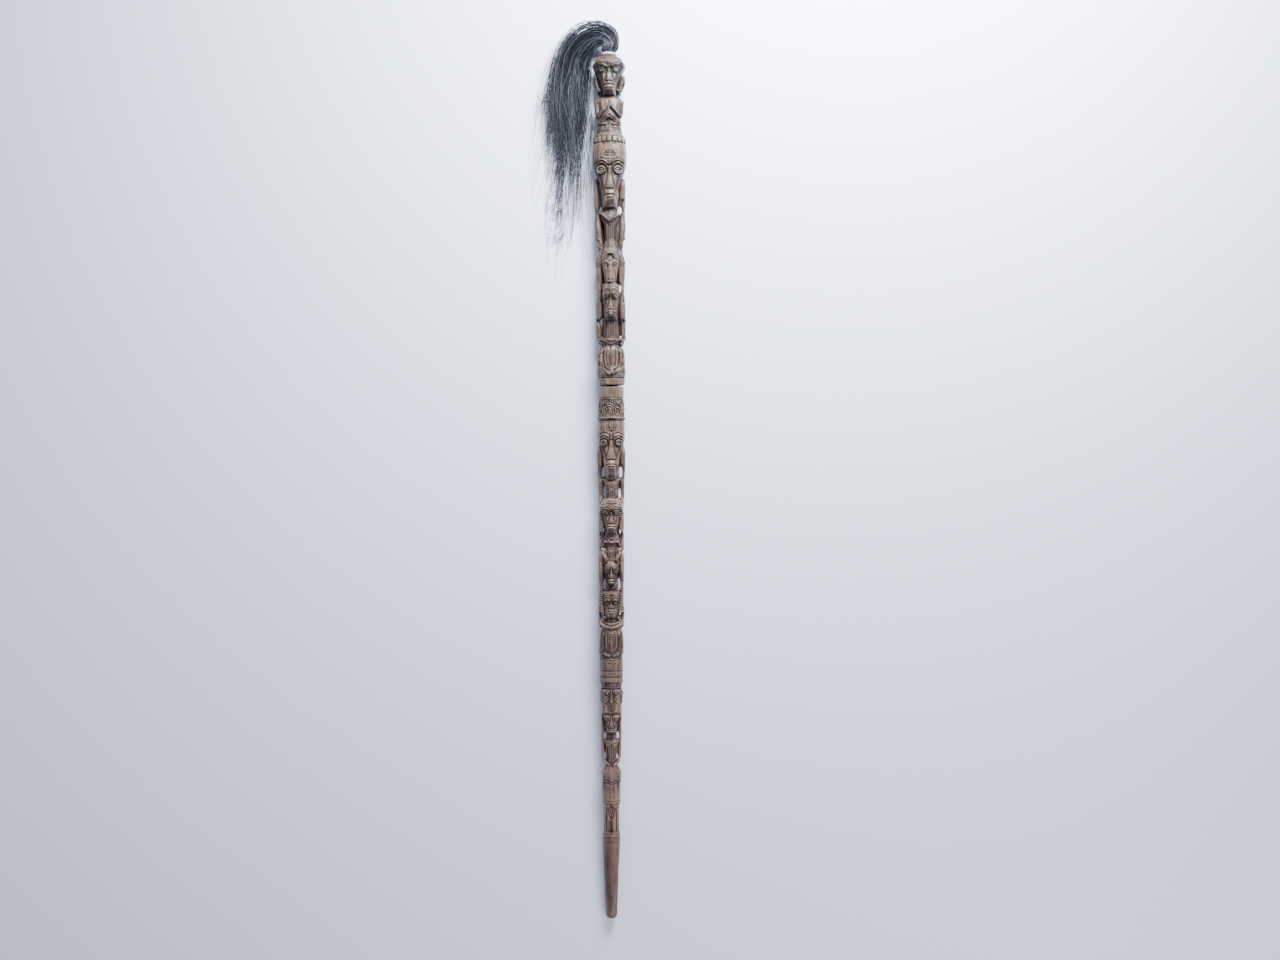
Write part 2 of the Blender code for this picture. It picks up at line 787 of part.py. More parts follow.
def cuff():
    """The socketed cuff: a plain turned band, two grooves and interlaced arcs over a flared rim."""
    tier = "cuff"
    half = 0.5 * CUFF_WIDTH
    rim = 0.5 * CUFF_RIM_WIDTH
    profile = (
        (-0.03, 0.92 * half),
        (0.01, 0.93 * rim),
        (0.03, rim),
        (0.08, rim),
        (0.11, 0.5 * (rim + half)),
        (0.58, half),
        (0.60, 0.97 * half),
        (0.62, half),
        (0.985, half),
        (1.0, 0.97 * half),
    )
    rows = [(at(tier, u), r, r, max(r, log_radius(at(tier, u)))) for u, r in profile]
    pieces = [loft(rows, ROUND_SIDES, 2.0)]
    for k in range(CUFF_SCROLLS):
        middle = 2.0 * math.pi * (k + 0.5) / CUFF_SCROLLS
        for spread, low, high in ((1.05, 0.14, 0.53), (0.62, 0.14, 0.38)):
            path = []
            for step in range(5):
                share = step / 4.0
                angle = middle + (share - 0.5) * spread * 2.0 * math.pi / CUFF_SCROLLS
                lift = low + (high - low) * math.sin(math.pi * share)
                radius = half * (1.0 + 0.10 * (1.0 - lift)) - 0.2
                path.append((radius * math.sin(angle), at(tier, lift), radius * math.cos(angle)))
            pieces.append(bar(path, 1.5, 4))
    return pieces


def leg_block():
    """The heavy block that ends the upper section: drawn-up legs over a plain band."""
    tier = "leg_block"
    half = 0.5 * BLOCK_WIDTH
    low = 0.5 * BLOCK_FOOT_WIDTH
    deep = axis_height(at(tier, 0.5)) - 0.3
    profile = (
        (0.00, low, low, low),
        (0.155, 0.96 * half, 0.93 * half, deep),
        (0.17, 0.92 * half, 0.89 * half, 0.97 * deep),
        (0.185, 0.97 * half, 0.93 * half, deep),
        (0.32, half, 0.94 * half, deep),
        (0.50, 0.96 * half, 0.82 * half, deep),
        (0.80, 0.92 * half, 0.80 * half, deep),
        (0.91, 0.82 * half, 0.72 * half, 0.92 * deep),
        (1.03, 0.50 * half, 0.52 * half, 0.72 * deep),
    )
    rings = []
    for k, (share, wide, front, back) in enumerate(profile):
        tilt = JOINT_WEDGE if k == 0 else 0.0
        rings.append(section(at(tier, share), wide, front, back, sides=ROUND_SIDES, power=2.3, tilt=tilt))
    pieces = [skin(rings)]
    pieces += limb(
        tier,
        [
            (0.66 * half, 0.36, 0.42 * half),
            (0.68 * half, 0.62, 0.42 * half),
            (0.66 * half, 0.86, 0.38 * half),
        ],
        [0.30 * half, 0.30 * half, 0.24 * half],
        8,
    )
    pieces += limb(
        tier,
        [
            (0.62 * half, 0.38, 0.62 * half),
            (0.40 * half, 0.33, 0.82 * half),
            (0.06 * half, 0.26, 0.92 * half),
        ],
        0.15 * half,
    )
    belly = [
        (0.36, 0.22 * half, 0.86 * half, 0.0),
        (0.60, 0.34 * half, 0.90 * half, 0.0),
        (0.95, 0.24 * half, 0.78 * half, 0.0),
    ]
    pieces.append(tier_loft(tier, belly, 8, 2.4))
    return pieces


def tenon():
    """The round tenon under the block."""
    radius = 0.5 * TENON_WIDTH
    rows = [
        (JOINT - TENON_LENGTH, 0.94 * radius),
        (JOINT - TENON_LENGTH + 1.5, radius),
        (at("leg_block", 0.06), radius),
    ]
    return [loft([(s, r, r, r) for s, r in rows], ROUND_SIDES, 2.0)]


def socket():
    """The blind hole that the tenon stands in."""
    radius = 0.5 * TENON_WIDTH + SOCKET_CLEARANCE
    rows = [(JOINT - TENON_LENGTH - 2.0, radius), (JOINT + 5.0, radius)]
    return [loft([(s, r, r, r) for s, r in rows], ROUND_SIDES, 2.0)]


def seated_figure():
    """A figure that sits in a bowl-like belt, its ringed arms hanging clear of its body."""
    tier = "seated_body"
    half = 0.5 * SEATED_WIDTH
    deep = 0.8 * axis_height(at(tier, 0.5))
    rows = [
        (-0.12, 0.34 * half, 0.50 * half, 0.8 * deep),
        (0.05, 0.60 * half, 0.70 * half, 0.9 * deep),
        (0.16, 0.92 * half, 0.76 * half, deep),
        (0.24, 0.95 * half, 0.70 * half, deep),
        (0.27, 0.54 * half, 0.52 * half, deep),
        (0.60, 0.48 * half, 0.56 * half, deep),
        (1.00, 0.46 * half, 0.50 * half, deep),
        (1.30, 0.40 * half, 0.50 * half, deep),
    ]
    pieces = [tier_loft(tier, rows, HEAD_SIDES, 2.2)]
    pieces += limb(
        tier,
        [
            (0.82 * half, 0.20, 4.0),
            (0.84 * half, 0.45, 3.0),
            (0.83 * half, 0.75, 1.0),
            (0.88 * half, 1.05, 0.0),
            (0.84 * half, 1.40, 2.0),
        ],
        [0.17 * half, 0.16 * half, 0.18 * half, 0.10 * half, 0.15 * half],
    )
    pieces.append(boss(0.66 * half, at(tier, 0.02), 0.22 * half, 0.15 * half, 0.18 * half, 0.6, sink=9.0))
    pieces.append(web(tier, 0.0, 1.1, 0.86 * half))
    pieces.append(web("seated_head", -0.1, 1.1, 0.84 * half))
    head = Head(at("seated_head", 0.0), at("seated_head", 1.0), SEATED_HEAD_WIDTH, taper=0.35)
    pieces += face(
        head,
        eye=0.30,
        eye_place=(0.52, 0.66),
        nose=(0.72, 0.30),
        nose_width=0.36,
        mouth=0.20,
        ears=False,
    )
    tier = "seated_head"
    pieces += wrist(tier, (0.79 * half, 0.03, 3.5), (0.77 * half, 0.50, 4.5), 0.235 * half, 4)
    pieces += limb(
        tier,
        [(0.76 * half, 0.44, 2.0), (0.72 * half, 0.75, 1.0), (0.74 * half, 1.10, 1.0)],
        [0.20 * half, 0.17 * half, 0.20 * half],
    )
    return pieces


def beast():
    """A beast's head with round eyes and a flat snout, a crest above it and bent forelegs beside it."""
    tier = "beast_head"
    half = 0.5 * BEAST_HEAD_WIDTH
    wide = 0.5 * BEAST_ARM_WIDTH
    reach = log_radius(at(tier, 0.5))
    deep = axis_height(at(tier, 0.5)) - 1.5
    rows = [
        (-0.08, 0.62 * half, 0.55 * reach, 0.8 * deep),
        (0.03, 0.70 * half, 0.86 * reach, 0.85 * deep),
        (0.15, 0.80 * half, 0.90 * reach, 0.88 * deep),
        (0.50, 1.06 * half, 0.80 * reach, 0.92 * deep),
        (0.72, 1.08 * half, 0.82 * reach, 0.92 * deep),
        (0.95, 0.98 * half, 0.76 * reach, 0.88 * deep),
        (1.10, 0.80 * half, 0.52 * reach, 0.80 * deep),
    ]
    pieces = [tier_loft(tier, rows, HEAD_SIDES, 3.2)]
    snout = [
        (0.02, 0.52 * half, 0.98 * reach, 0.0),
        (0.30, 0.50 * half, 0.97 * reach, 0.0),
        (0.62, 0.26 * half, 0.90 * reach, 0.0),
    ]
    pieces.append(tier_loft(tier, snout, 8, 5.0))
    pieces.append(web(tier, -0.15, 1.15, 0.82 * wide))
    for side in (-1, 1):
        pieces.append(
            boss(
                side * 0.62 * half,
                at(tier, 0.53),
                0.66 * reach,
                0.33 * half,
                0.18 * half,
                side * 0.35,
                sink=5.0,
            )
        )
    crest = [
        (-0.72, 0.72, 0.70),
        (-0.40, 0.86, 0.84),
        (0.0, 0.90, 0.88),
        (0.40, 0.86, 0.84),
        (0.72, 0.72, 0.70),
    ]
    pieces.append(bar([(x * half, at(tier, u), d * reach) for x, u, d in crest], 0.20 * half))
    pieces += limb(
        tier,
        [
            (0.44 * wide, 0.98, 2.0),
            (0.64 * wide, 0.78, 3.0),
            (0.72 * wide, 0.60, 4.0),
            (0.74 * wide, 0.15, 3.0),
            (0.72 * wide, -0.20, 2.0),
        ],
        [0.30 * wide, 0.27 * wide, 0.27 * wide, 0.21 * wide, 0.17 * wide],
        8,
    )
    return pieces


def long_figure():
    """The upper section's long mask over a slim body whose ringed arms end on its knees."""
    tier = "long_body"
    half = 0.5 * LONG_BODY_WIDTH
    deep = 0.85 * axis_height(at(tier, 0.5))
    rows = [
        (-0.12, 0.44 * half, 0.50 * half, 0.9 * deep),
        (0.02, 0.60 * half, 0.56 * half, deep),
        (0.16, 0.52 * half, 0.54 * half, deep),
        (0.24, 0.36 * half, 0.52 * half, deep),
        (0.55, 0.42 * half, 0.60 * half, deep),
        (0.80, 0.66 * half, 0.62 * half, deep),
        (0.88, 0.90 * half, 0.46 * half, 0.9 * deep),
        (0.93, 0.40 * half, 0.40 * half, 0.9 * deep),
        (1.15, 0.34 * half, 0.40 * half, deep),
    ]
    pieces = [tier_loft(tier, rows, HEAD_SIDES, 2.2)]
    pieces += limb(
        tier,
        [(0.80 * half, 0.90, 0.0), (0.79 * half, 0.65, 2.0), (0.77 * half, 0.42, 3.0)],
        [0.17 * half, 0.22 * half, 0.21 * half],
        8,
    )
    pieces += wrist(tier, (0.76 * half, 0.24, 4.0), (0.76 * half, 0.44, 3.0), 0.245 * half, 3)
    pieces += limb(
        tier,
        [(0.70 * half, 0.28, 4.0), (0.66 * half, 0.10, 4.0), (0.48 * half, -0.08, 4.0)],
        [0.17 * half, 0.20 * half, 0.14 * half],
        8,
    )
    # The right upper arm is the thicker one and meets the body
    inner = [(0.54 * half, 0.82, -1.0), (0.50 * half, 0.52, 0.0), (0.54 * half, 0.20, 1.0)]
    pieces.append(bar([(x, at(tier, u), d) for x, u, d in inner], 0.21 * half, 8))
    necklace = [
        (-0.52, 0.86, 0.40),
        (-0.26, 0.74, 0.64),
        (0.0, 0.66, 0.70),
        (0.26, 0.74, 0.64),
        (0.52, 0.86, 0.40),
    ]
    pieces.append(bar([(x * half, at(tier, u), d * half) for x, u, d in necklace], 0.10 * half, 5))
    pieces.append(web(tier, 0.0, 1.1, 0.80 * half))
    pieces.append(web("long_head", -0.05, 0.55, 0.86 * half))
    head = Head(at("long_head", 0.0), at("long_head", 1.02), LONG_HEAD_WIDTH, taper=0.95)
    pieces += face(
        head,
        eye=0.275,
        eye_place=(0.50, 0.57),
        nose=(0.68, 0.28),
        nose_width=0.25,
        mouth=0.18,
        ears=False,
    )
    wide = 0.5 * LONG_HEAD_WIDTH
    tier = "long_head"
    pieces += limb(
        tier,
        [
            (0.78 * wide, 0.46, 0.0),
            (0.81 * wide, 0.38, 0.0),
            (0.80 * wide, 0.15, 0.0),
            (0.79 * wide, -0.08, 0.0),
        ],
        [0.10 * wide, 0.135 * wide, 0.12 * wide, 0.115 * wide],
    )
    ear = [
        (0.74 * wide, at(tier, 0.44), 4.0),
        (0.76 * wide, at(tier, 0.34), 5.0),
        (0.76 * wide, at(tier, 0.14), 4.0),
    ]
    pieces.append(bar(ear, [0.16 * wide, 0.20 * wide, 0.17 * wide], 8))
    return pieces


def collar():
    """A ring of square blocks between two fine lips."""
    low, high = TIERS["collar"]
    radius = 0.5 * COLLAR_WIDTH
    step = 2.0 * math.pi / COLLAR_BLOCKS
    rings = []
    for station, out in ((at("collar", 0.10), 1.0), (at("collar", 0.58), 1.0)):
        ring = []
        for k in range(COLLAR_BLOCKS):
            for turn, size in ((0.08, 1.0), (0.84, 1.0), (0.88, 0.90), (1.04, 0.90)):
                angle = step * (k + turn) - 0.46 * step
                ring.append(
                    place(
                        radius * size * out * math.sin(angle),
                        station,
                        radius * size * out * math.cos(angle),
                    )
                )
        rings.append(ring)
    core = [
        (low - 2.0, 0.93 * radius),
        (low + 0.06 * (high - low), 0.95 * radius),
        (low + 0.62 * (high - low), 0.945 * radius),
        (low + 0.70 * (high - low), 0.90 * radius),
        (high, 0.82 * radius),
        (high + 1.5, 0.76 * radius),
    ]
    return [skin(rings), loft([(s, r, r, r) for s, r in core], ROUND_SIDES, 2.0)]


def squatting_figure():
    """A figure that squats on a drum, its hands at its chest and its shins crossed."""
    tier = "squatting_body"
    half = 0.5 * SQUATTING_BODY_WIDTH
    deep = 0.86 * axis_height(at(tier, 0.5))
    rows = [
        (-0.06, 0.80 * half, 0.74 * half, 0.95 * deep),
        (0.18, 0.81 * half, 0.74 * half, 0.95 * deep),
        (0.22, 0.74 * half, 0.70 * half, 0.92 * deep),
        (0.50, 0.74 * half, 0.68 * half, 0.95 * deep),
        (0.82, 0.90 * half, 0.50 * half, 0.9 * deep),
        (0.92, 0.80 * half, 0.40 * half, 0.8 * deep),
        (0.98, 0.34 * half, 0.30 * half, 0.62 * deep),
        (1.12, 0.30 * half, 0.28 * half, 0.6 * deep),
    ]
    pieces = [tier_loft(tier, rows, HEAD_SIDES, 2.3)]
    pieces += limb(
        tier,
        [
            (0.84 * half, 0.85, 0.10 * half),
            (0.78 * half, 0.55, 0.30 * half),
            (0.70 * half, 0.42, 0.46 * half),
        ],
        0.155 * half,
    )
    pieces += limb(
        tier,
        [
            (0.70 * half, 0.42, 0.46 * half),
            (0.34 * half, 0.60, 0.70 * half),
            (0.10 * half, 0.70, 0.62 * half),
        ],
        0.13 * half,
    )
    pieces += limb(
        tier,
        [
            (0.04 * half, 0.44, 0.78 * half),
            (0.34 * half, 0.37, 0.70 * half),
            (0.66 * half, 0.27, 0.46 * half),
        ],
        0.16 * half,
    )
    pieces += limb(tier, [(0.64 * half, 0.26, 0.46 * half), (0.20 * half, 0.22, 0.74 * half)], 0.11 * half)
    return pieces


def top_head():
    """The top figure's head, with cupped ears and the round crown that the hair stands on."""
    head = Head(at("top_head", 0.0), CROWN, TOP_HEAD_WIDTH, round_crown=True)
    pieces = face(
        head,
        eye=0.20,
        eye_place=(0.42, 0.62),
        nose=(0.72, 0.32),
        nose_width=0.27,
        mouth=0.215,
        ears=False,
    )
    half = head.half
    tier = "top_head"
    pieces.append(web(tier, 0.0, 0.6, 0.76 * half))
    for side, thick in ((-1, 0.12), (1, 0.19)):
        path = [(0.50, 0.10), (0.66, 0.14), (0.80, 0.30), (0.84, 0.50)]
        places = [(side * x * half, at(tier, u), 0.10 * half) for x, u in path]
        pieces.append(bar(places, [thick * half, thick * half, 1.1 * thick * half, 0.8 * thick * half], 8))
    return pieces


def binding():
    """The pale cord ring round the foot of the hair."""
    outer = 0.5 * BINDING_WIDTH
    inner = outer - BINDING_THICKNESS
    low = CROWN + 1.5
    profile = []
    for k in range(8):
        angle = 2.0 * math.pi * k / 8
        radius = 0.5 * (outer + inner) + 0.5 * BINDING_THICKNESS * math.cos(angle)
        profile.append((radius, low + 0.5 * BINDING_HEIGHT * (1.0 + math.sin(angle))))
    points = []
    sides = ROUND_SIDES + 4
    for n in range(sides):
        angle = 2.0 * math.pi * n / sides
        for radius, station in profile:
            points.append(place(radius * math.cos(angle), station, radius * math.sin(angle), CROWN))
    faces = []
    for n in range(sides):
        for k in range(8):
            a = n * 8 + k
            b = n * 8 + (k + 1) % 8
            c = (n + 1) % sides * 8 + (k + 1) % 8
            d = (n + 1) % sides * 8 + k
            faces.append((a, b, c, d))
    return [(points, faces)]


def plume_spine():
    """The middle of the plume, from the binding over the crest and down beside the staff.

    Each row is: left of the crown as a share of the reach, above the crown as a share of the rise
    (or below it as a share of the drop), half width as a share of the rise, half thickness as a
    share of the thickness, and how far the middle has sunk from the axis to the floor.
    """
    rise = PLUME_RISE
    drop = PLUME_DROP
    reach = PLUME_REACH
    rows = (
        (0.00, 0.17 * rise, 0.25, 0.62, 0.00),
        (0.02, 0.42 * rise, 0.34, 0.64, 0.02),
        (0.14, 0.52 * rise, 0.42, 0.60, 0.10),
        (0.36, 0.42 * rise, 0.56, 0.54, 0.38),
        (0.60, 0.06 * rise, 0.49, 0.48, 0.74),
        (0.68, -0.095 * drop, 0.48, 0.45, 0.94),
        (0.71, -0.205 * drop, 0.46, 0.42, 1.00),
        (0.67, -0.390 * drop, 0.38, 0.36, 1.00),
        (0.65, -0.545 * drop, 0.28, 0.29, 1.00),
        (0.63, -0.710 * drop, 0.18, 0.21, 1.00),
        (0.62, -0.865 * drop, 0.09, 0.13, 1.00),
        (0.61, -1.000 * drop, 0.03, 0.06, 1.00),
    )
    top = axis_height(CROWN)
    spine = []
    for left, up, wide, thick, sunk in rows:
        half = thick * PLUME_THICKNESS
        height = top + (half + 0.6 - top) * sunk
        spine.append((Vector((-left * reach, CROWN + up, height)), wide * rise, half))
    return spine


def flat_point(point):
    """World position of a hair point: x, station and a height above the floor."""
    lean = UPPER_LEAN * (point.y - JOINT)
    return Vector(((point.x - lean) * MM, (point.y - ORIGIN) * MM, point.z * MM))


def plume():
    """The bundle of hair: oval sections across the spine, and the root inside the binding."""
    spine = plume_spine()
    sides = 12
    rings = []
    for k, (point, wide, thick) in enumerate(spine):
        ahead = spine[min(k + 1, len(spine) - 1)][0] - spine[max(k - 1, 0)][0]
        across = Vector((ahead.y, -ahead.x, 0.0)).normalized()
        ring = []
        for n in range(sides):
            angle = 2.0 * math.pi * n / sides
            up = Vector((0.0, 0.0, thick * math.sin(angle)))
            ring.append(flat_point(point + across * wide * math.cos(angle) + up))
        rings.append(ring)
    root = 0.5 * BINDING_WIDTH - BINDING_THICKNESS - TOUCH_GAP
    low = CROWN + TOUCH_GAP
    rows = [(low, root, root, root), (CROWN + 0.30 * PLUME_RISE, root, root, root)]
    return [skin(rings), loft(rows, sides, 2.0)]


def lock(rows, radius):
    """A tapering lock through rows of (left share of the reach, station offset, height)."""
    points = []
    for left, up, height in rows:
        points.append(flat_point(Vector((-left * PLUME_REACH, CROWN + up, height))))
    side = Vector((0.1, 0.2, 1.0))
    rings = []
    for k, point in enumerate(points):
        ahead = (points[min(k + 1, len(points) - 1)] - points[max(k - 1, 0)]).normalized()
        side = (side - ahead * side.dot(ahead)).normalized()
        other = ahead.cross(side)
        size = radius * (1.0 - 0.75 * k / (len(points) - 1)) * MM
        turns = [2.0 * math.pi * n / 5 for n in range(5)]
        rings.append([point + (side * math.cos(a) + other * math.sin(a)) * size for a in turns])
    return skin(rings)


def locks():
    """Locks that part from the bundle, and the long loose ones that reach out to the left."""
    drop = PLUME_DROP
    rise = PLUME_RISE
    thick = PLUME_THICKNESS
    pieces = [
        lock(
            [
                (0.10, 0.62 * rise, 1.46 * thick),
                (0.40, 0.90 * rise, 1.15 * thick),
                (0.66, 0.62 * rise, 0.85 * thick),
                (0.90, 0.0, 0.54 * thick),
                (0.99, -0.16 * drop, 0.35 * thick),
                (1.02, -0.30 * drop, 0.19 * thick),
            ],
            0.19 * thick,
        ),
        lock(
            [
                (0.30, 0.50 * rise, 1.31 * thick),
                (0.55, 0.30 * rise, 1.19 * thick),
                (0.72, -0.05 * drop, 0.96 * thick),
                (0.74, -0.30 * drop, 0.62 * thick),
                (0.68, -0.56 * drop, 0.35 * thick),
                (0.62, -0.78 * drop, 0.16 * thick),
            ],
            0.23 * thick,
        ),
        lock(
            [
                (0.20, 0.20 * rise, 1.31 * thick),
                (0.36, 0.0, 1.08 * thick),
                (0.47, -0.12 * drop, 0.77 * thick),
                (0.50, -0.34 * drop, 0.50 * thick),
                (0.47, -0.62 * drop, 0.23 * thick),
                (0.44, -0.86 * drop, 0.12 * thick),
            ],
            0.19 * thick,
        ),
        lock(
            [
                (0.80, -0.30 * drop, 0.27 * thick),
                (0.76, -0.55 * drop, 0.19 * thick),
                (0.70, -0.90 * drop, 0.15 * thick),
                (0.66, -1.18 * drop, 0.12 * thick),
                (0.62, -1.36 * drop, 0.08 * thick),
            ],
            0.15 * thick,
        ),
        lock(
            [
                (0.88, -0.14 * drop, 0.31 * thick),
                (1.00, -0.26 * drop, 0.25 * thick),
                (1.13, -0.33 * drop, 0.21 * thick),
                (1.25, -0.34 * drop, 0.19 * thick),
                (1.33, -0.30 * drop, 0.17 * thick),
            ],
            0.09 * thick,
        ),
        lock(
            [
                (0.78, -0.40 * drop, 0.23 * thick),
                (1.00, -0.60 * drop, 0.17 * thick),
                (1.20, -0.74 * drop, 0.13 * thick),
                (1.34, -0.80 * drop, 0.12 * thick),
            ],
            0.09 * thick,
        ),
    ]
    return pieces


def make_object(name, piece):
    """A mesh object from points and faces, with its faces pointing out."""
    mesh = bpy.data.meshes.new(name)
    mesh.from_pydata(piece[0], [], piece[1])
    shaped = bmesh.new()
    shaped.from_mesh(mesh)
    bmesh.ops.triangulate(shaped, faces=[f for f in shaped.faces if len(f.verts) == 4])
    bmesh.ops.recalc_face_normals(shaped, faces=shaped.faces)
    shaped.to_mesh(mesh)
    shaped.free()
    piece_object = bpy.data.objects.new(name, mesh)
    bpy.context.scene.collection.objects.link(piece_object)
    return piece_object


def hidden_group(name, pieces):
    """A collection of guide shapes that only modifiers use."""
    group = bpy.data.collections.new(name)
    bpy.context.scene.collection.children.link(group)
    for number, piece in enumerate(pieces):
        guide = make_object(f"{name}_{number:03d}", piece)
        bpy.context.scene.collection.objects.unlink(guide)
        group.objects.link(guide)
        guide.hide_render = True
        guide.display_type = "WIRE"
    return group


def add_boolean(target, group, operation):
    modifier = target.modifiers.new(operation.lower(), "BOOLEAN")
    modifier.operation = operation
    modifier.solver = "EXACT"
    modifier.operand_type = "COLLECTION"
    modifier.collection = group


def upper_gaps():
    """The open gaps of the upper section, each as the staff's front shows it."""
    long_half = 0.5 * LONG_BODY_WIDTH
    seated_half = 0.5 * SEATED_WIDTH
    beast_half = 0.5 * BEAST_ARM_WIDTH
    return [
        gap("long_body", -0.60 * long_half, 0.97, 0.115 * long_half, 0.26),
        gap("long_body", 0.60 * long_half, 0.96, 0.15 * long_half, 0.27),
        gap("long_body", -0.42 * long_half, 0.13, 0.085 * long_half, 0.21),
        gap("beast_head", 0.60 * beast_half, -0.10, 0.085 * beast_half, 0.30),
        gap("seated_body", -0.62 * seated_half, 0.97, 0.10 * seated_half, 0.38),
        gap("seated_body", -0.60 * seated_half, 0.34, 0.065 * seated_half, 0.20),
        gap("seated_body", 0.62 * seated_half, 0.34, 0.065 * seated_half, 0.20),
    ]


def lower_gaps():
    """The open gaps of the lower section, each as the staff's front shows it."""
    mask = 0.5 * MASK_BODY_WIDTH
    beard = 0.5 * BEARDED_WIDTH
    narrow = 0.5 * NARROW_SHOULDER_WIDTH
    small = 0.5 * SMALL_FIGURE_WIDTH
    stand = 0.5 * STANDING_HEAD_WIDTH
    return [
        gap("mask_head", -0.62 * mask, 0.125, 0.16 * mask, 0.19),
        gap("mask_head", 0.70 * mask, 0.125, 0.16 * mask, 0.20),
        gap("mask_body", -0.52 * mask, 0.30, 0.13 * mask, 0.76),
        gap("mask_body", 0.62 * mask, 0.24, 0.12 * mask, 0.62),
        gap("bearded_head", -0.64 * beard, 0.13, 0.065 * beard, 0.17),
        gap("bearded_head", 0.68 * beard, 0.09, 0.065 * beard, 0.15),
        gap("narrow_figure", -0.50 * narrow, 0.17, 0.125 * narrow, 0.31),
        gap("narrow_figure", 0.53 * narrow, 0.18, 0.14 * narrow, 0.34),
        gap("small_figure", -0.68 * small, 0.41, 0.07 * small, 0.17),
        gap("small_figure", 0.70 * small, 0.41, 0.065 * small, 0.13),
        gap("small_figure", 0.62 * small, 0.17, 0.07 * small, 0.07),
        gap("standing_body", -0.66 * stand, 0.89, 0.16 * stand, 0.26),
        gap("standing_body", 0.60 * stand, 0.90, 0.16 * stand, 0.27),
        gap("standing_body", -0.62 * stand, 0.30, 0.13 * stand, 0.27),
        gap("standing_body", 0.56 * stand, 0.27, 0.10 * stand, 0.20),
    ]


def floor_cutter():
    """A slab under the floor that leaves the flats along the back."""
    reach = 2.0 * PLUME_REACH * MM
    low = -1.0 * ORIGIN * MM - 0.1
    high = (CROWN - ORIGIN + PLUME_RISE) * MM + 0.1
    corners = ((-reach, low), (reach, low), (reach, high), (-reach, high))
    points = [(x, y, z) for z in (-0.2, 0.0) for x, y in corners]
    return [points[:4], points[4:]]


def material(name, colour, roughness):
    finish = bpy.data.materials.new(name)
    finish.use_nodes = True
    shader = finish.node_tree.nodes["Principled BSDF"]
    shader.inputs["Base Color"].default_value = colour
    shader.inputs["Roughness"].default_value = roughness
    shader.inputs["Metallic"].default_value = 0.0
    return finish


def build(name, pieces, finish, cutters=(), cut_flat=False, kept=1.0):
    """One solid: the first piece joined with all the others, thinned out, then cut."""
    solid = make_object(name, pieces[0])
    if len(pieces) > 1:
        add_boolean(solid, hidden_group(name + "_parts", pieces[1:]), "UNION")
    if kept < 1.0:
        thin = solid.modifiers.new("thin_out", "DECIMATE")
        thin.ratio = kept
    cuts = list(cutters)
    if cut_flat:
        cuts.append(skin(floor_cutter()))
    if cuts:
        add_boolean(solid, hidden_group(name + "_cuts", cuts), "DIFFERENCE")
    solid.data.materials.append(finish)
    return solid


for old in list(bpy.data.objects):
    bpy.data.objects.remove(old, do_unlink=True)

wood = material("weathered_wood", WOOD_COLOUR, 0.72)
hair = material("black_hair", HAIR_COLOUR, 0.45)
cord = material("pale_cord", BINDING_COLOUR, 0.8)

lower = cuff() + mask_figure() + bearded_figure() + narrow_figure() + small_figure()
lower += squatting_legs() + double_band() + small_beast() + standing_figure() + standing_legs() + shaft()
build("lower_staff", lower, wood, socket() + lower_gaps(), cut_flat=True, kept=LOWER_KEPT)

upper = leg_block() + tenon() + seated_figure() + beast() + long_figure() + collar()
upper += squatting_figure() + top_head()
build("upper_staff", upper, wood, upper_gaps(), cut_flat=True, kept=UPPER_KEPT)

build("tuft_binding", binding(), cord)
build("hair_tuft", plume() + locks(), hair)
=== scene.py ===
import math

import bpy
import numpy as np
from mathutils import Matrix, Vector


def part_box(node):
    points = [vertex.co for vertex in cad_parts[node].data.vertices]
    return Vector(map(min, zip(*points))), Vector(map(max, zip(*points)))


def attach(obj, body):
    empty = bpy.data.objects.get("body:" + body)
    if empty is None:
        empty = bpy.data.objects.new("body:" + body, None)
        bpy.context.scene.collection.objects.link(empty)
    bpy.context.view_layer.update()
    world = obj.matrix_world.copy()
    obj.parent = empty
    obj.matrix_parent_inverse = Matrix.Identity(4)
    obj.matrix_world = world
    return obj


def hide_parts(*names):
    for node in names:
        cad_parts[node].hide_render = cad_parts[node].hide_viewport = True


fullTurn = 2.0 * math.pi
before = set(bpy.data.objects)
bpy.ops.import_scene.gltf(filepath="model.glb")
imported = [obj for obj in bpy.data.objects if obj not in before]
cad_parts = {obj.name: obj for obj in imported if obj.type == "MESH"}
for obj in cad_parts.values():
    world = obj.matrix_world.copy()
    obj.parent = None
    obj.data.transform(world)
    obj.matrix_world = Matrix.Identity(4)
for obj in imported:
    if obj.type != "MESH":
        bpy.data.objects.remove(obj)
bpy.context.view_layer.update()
scene = bpy.context.scene

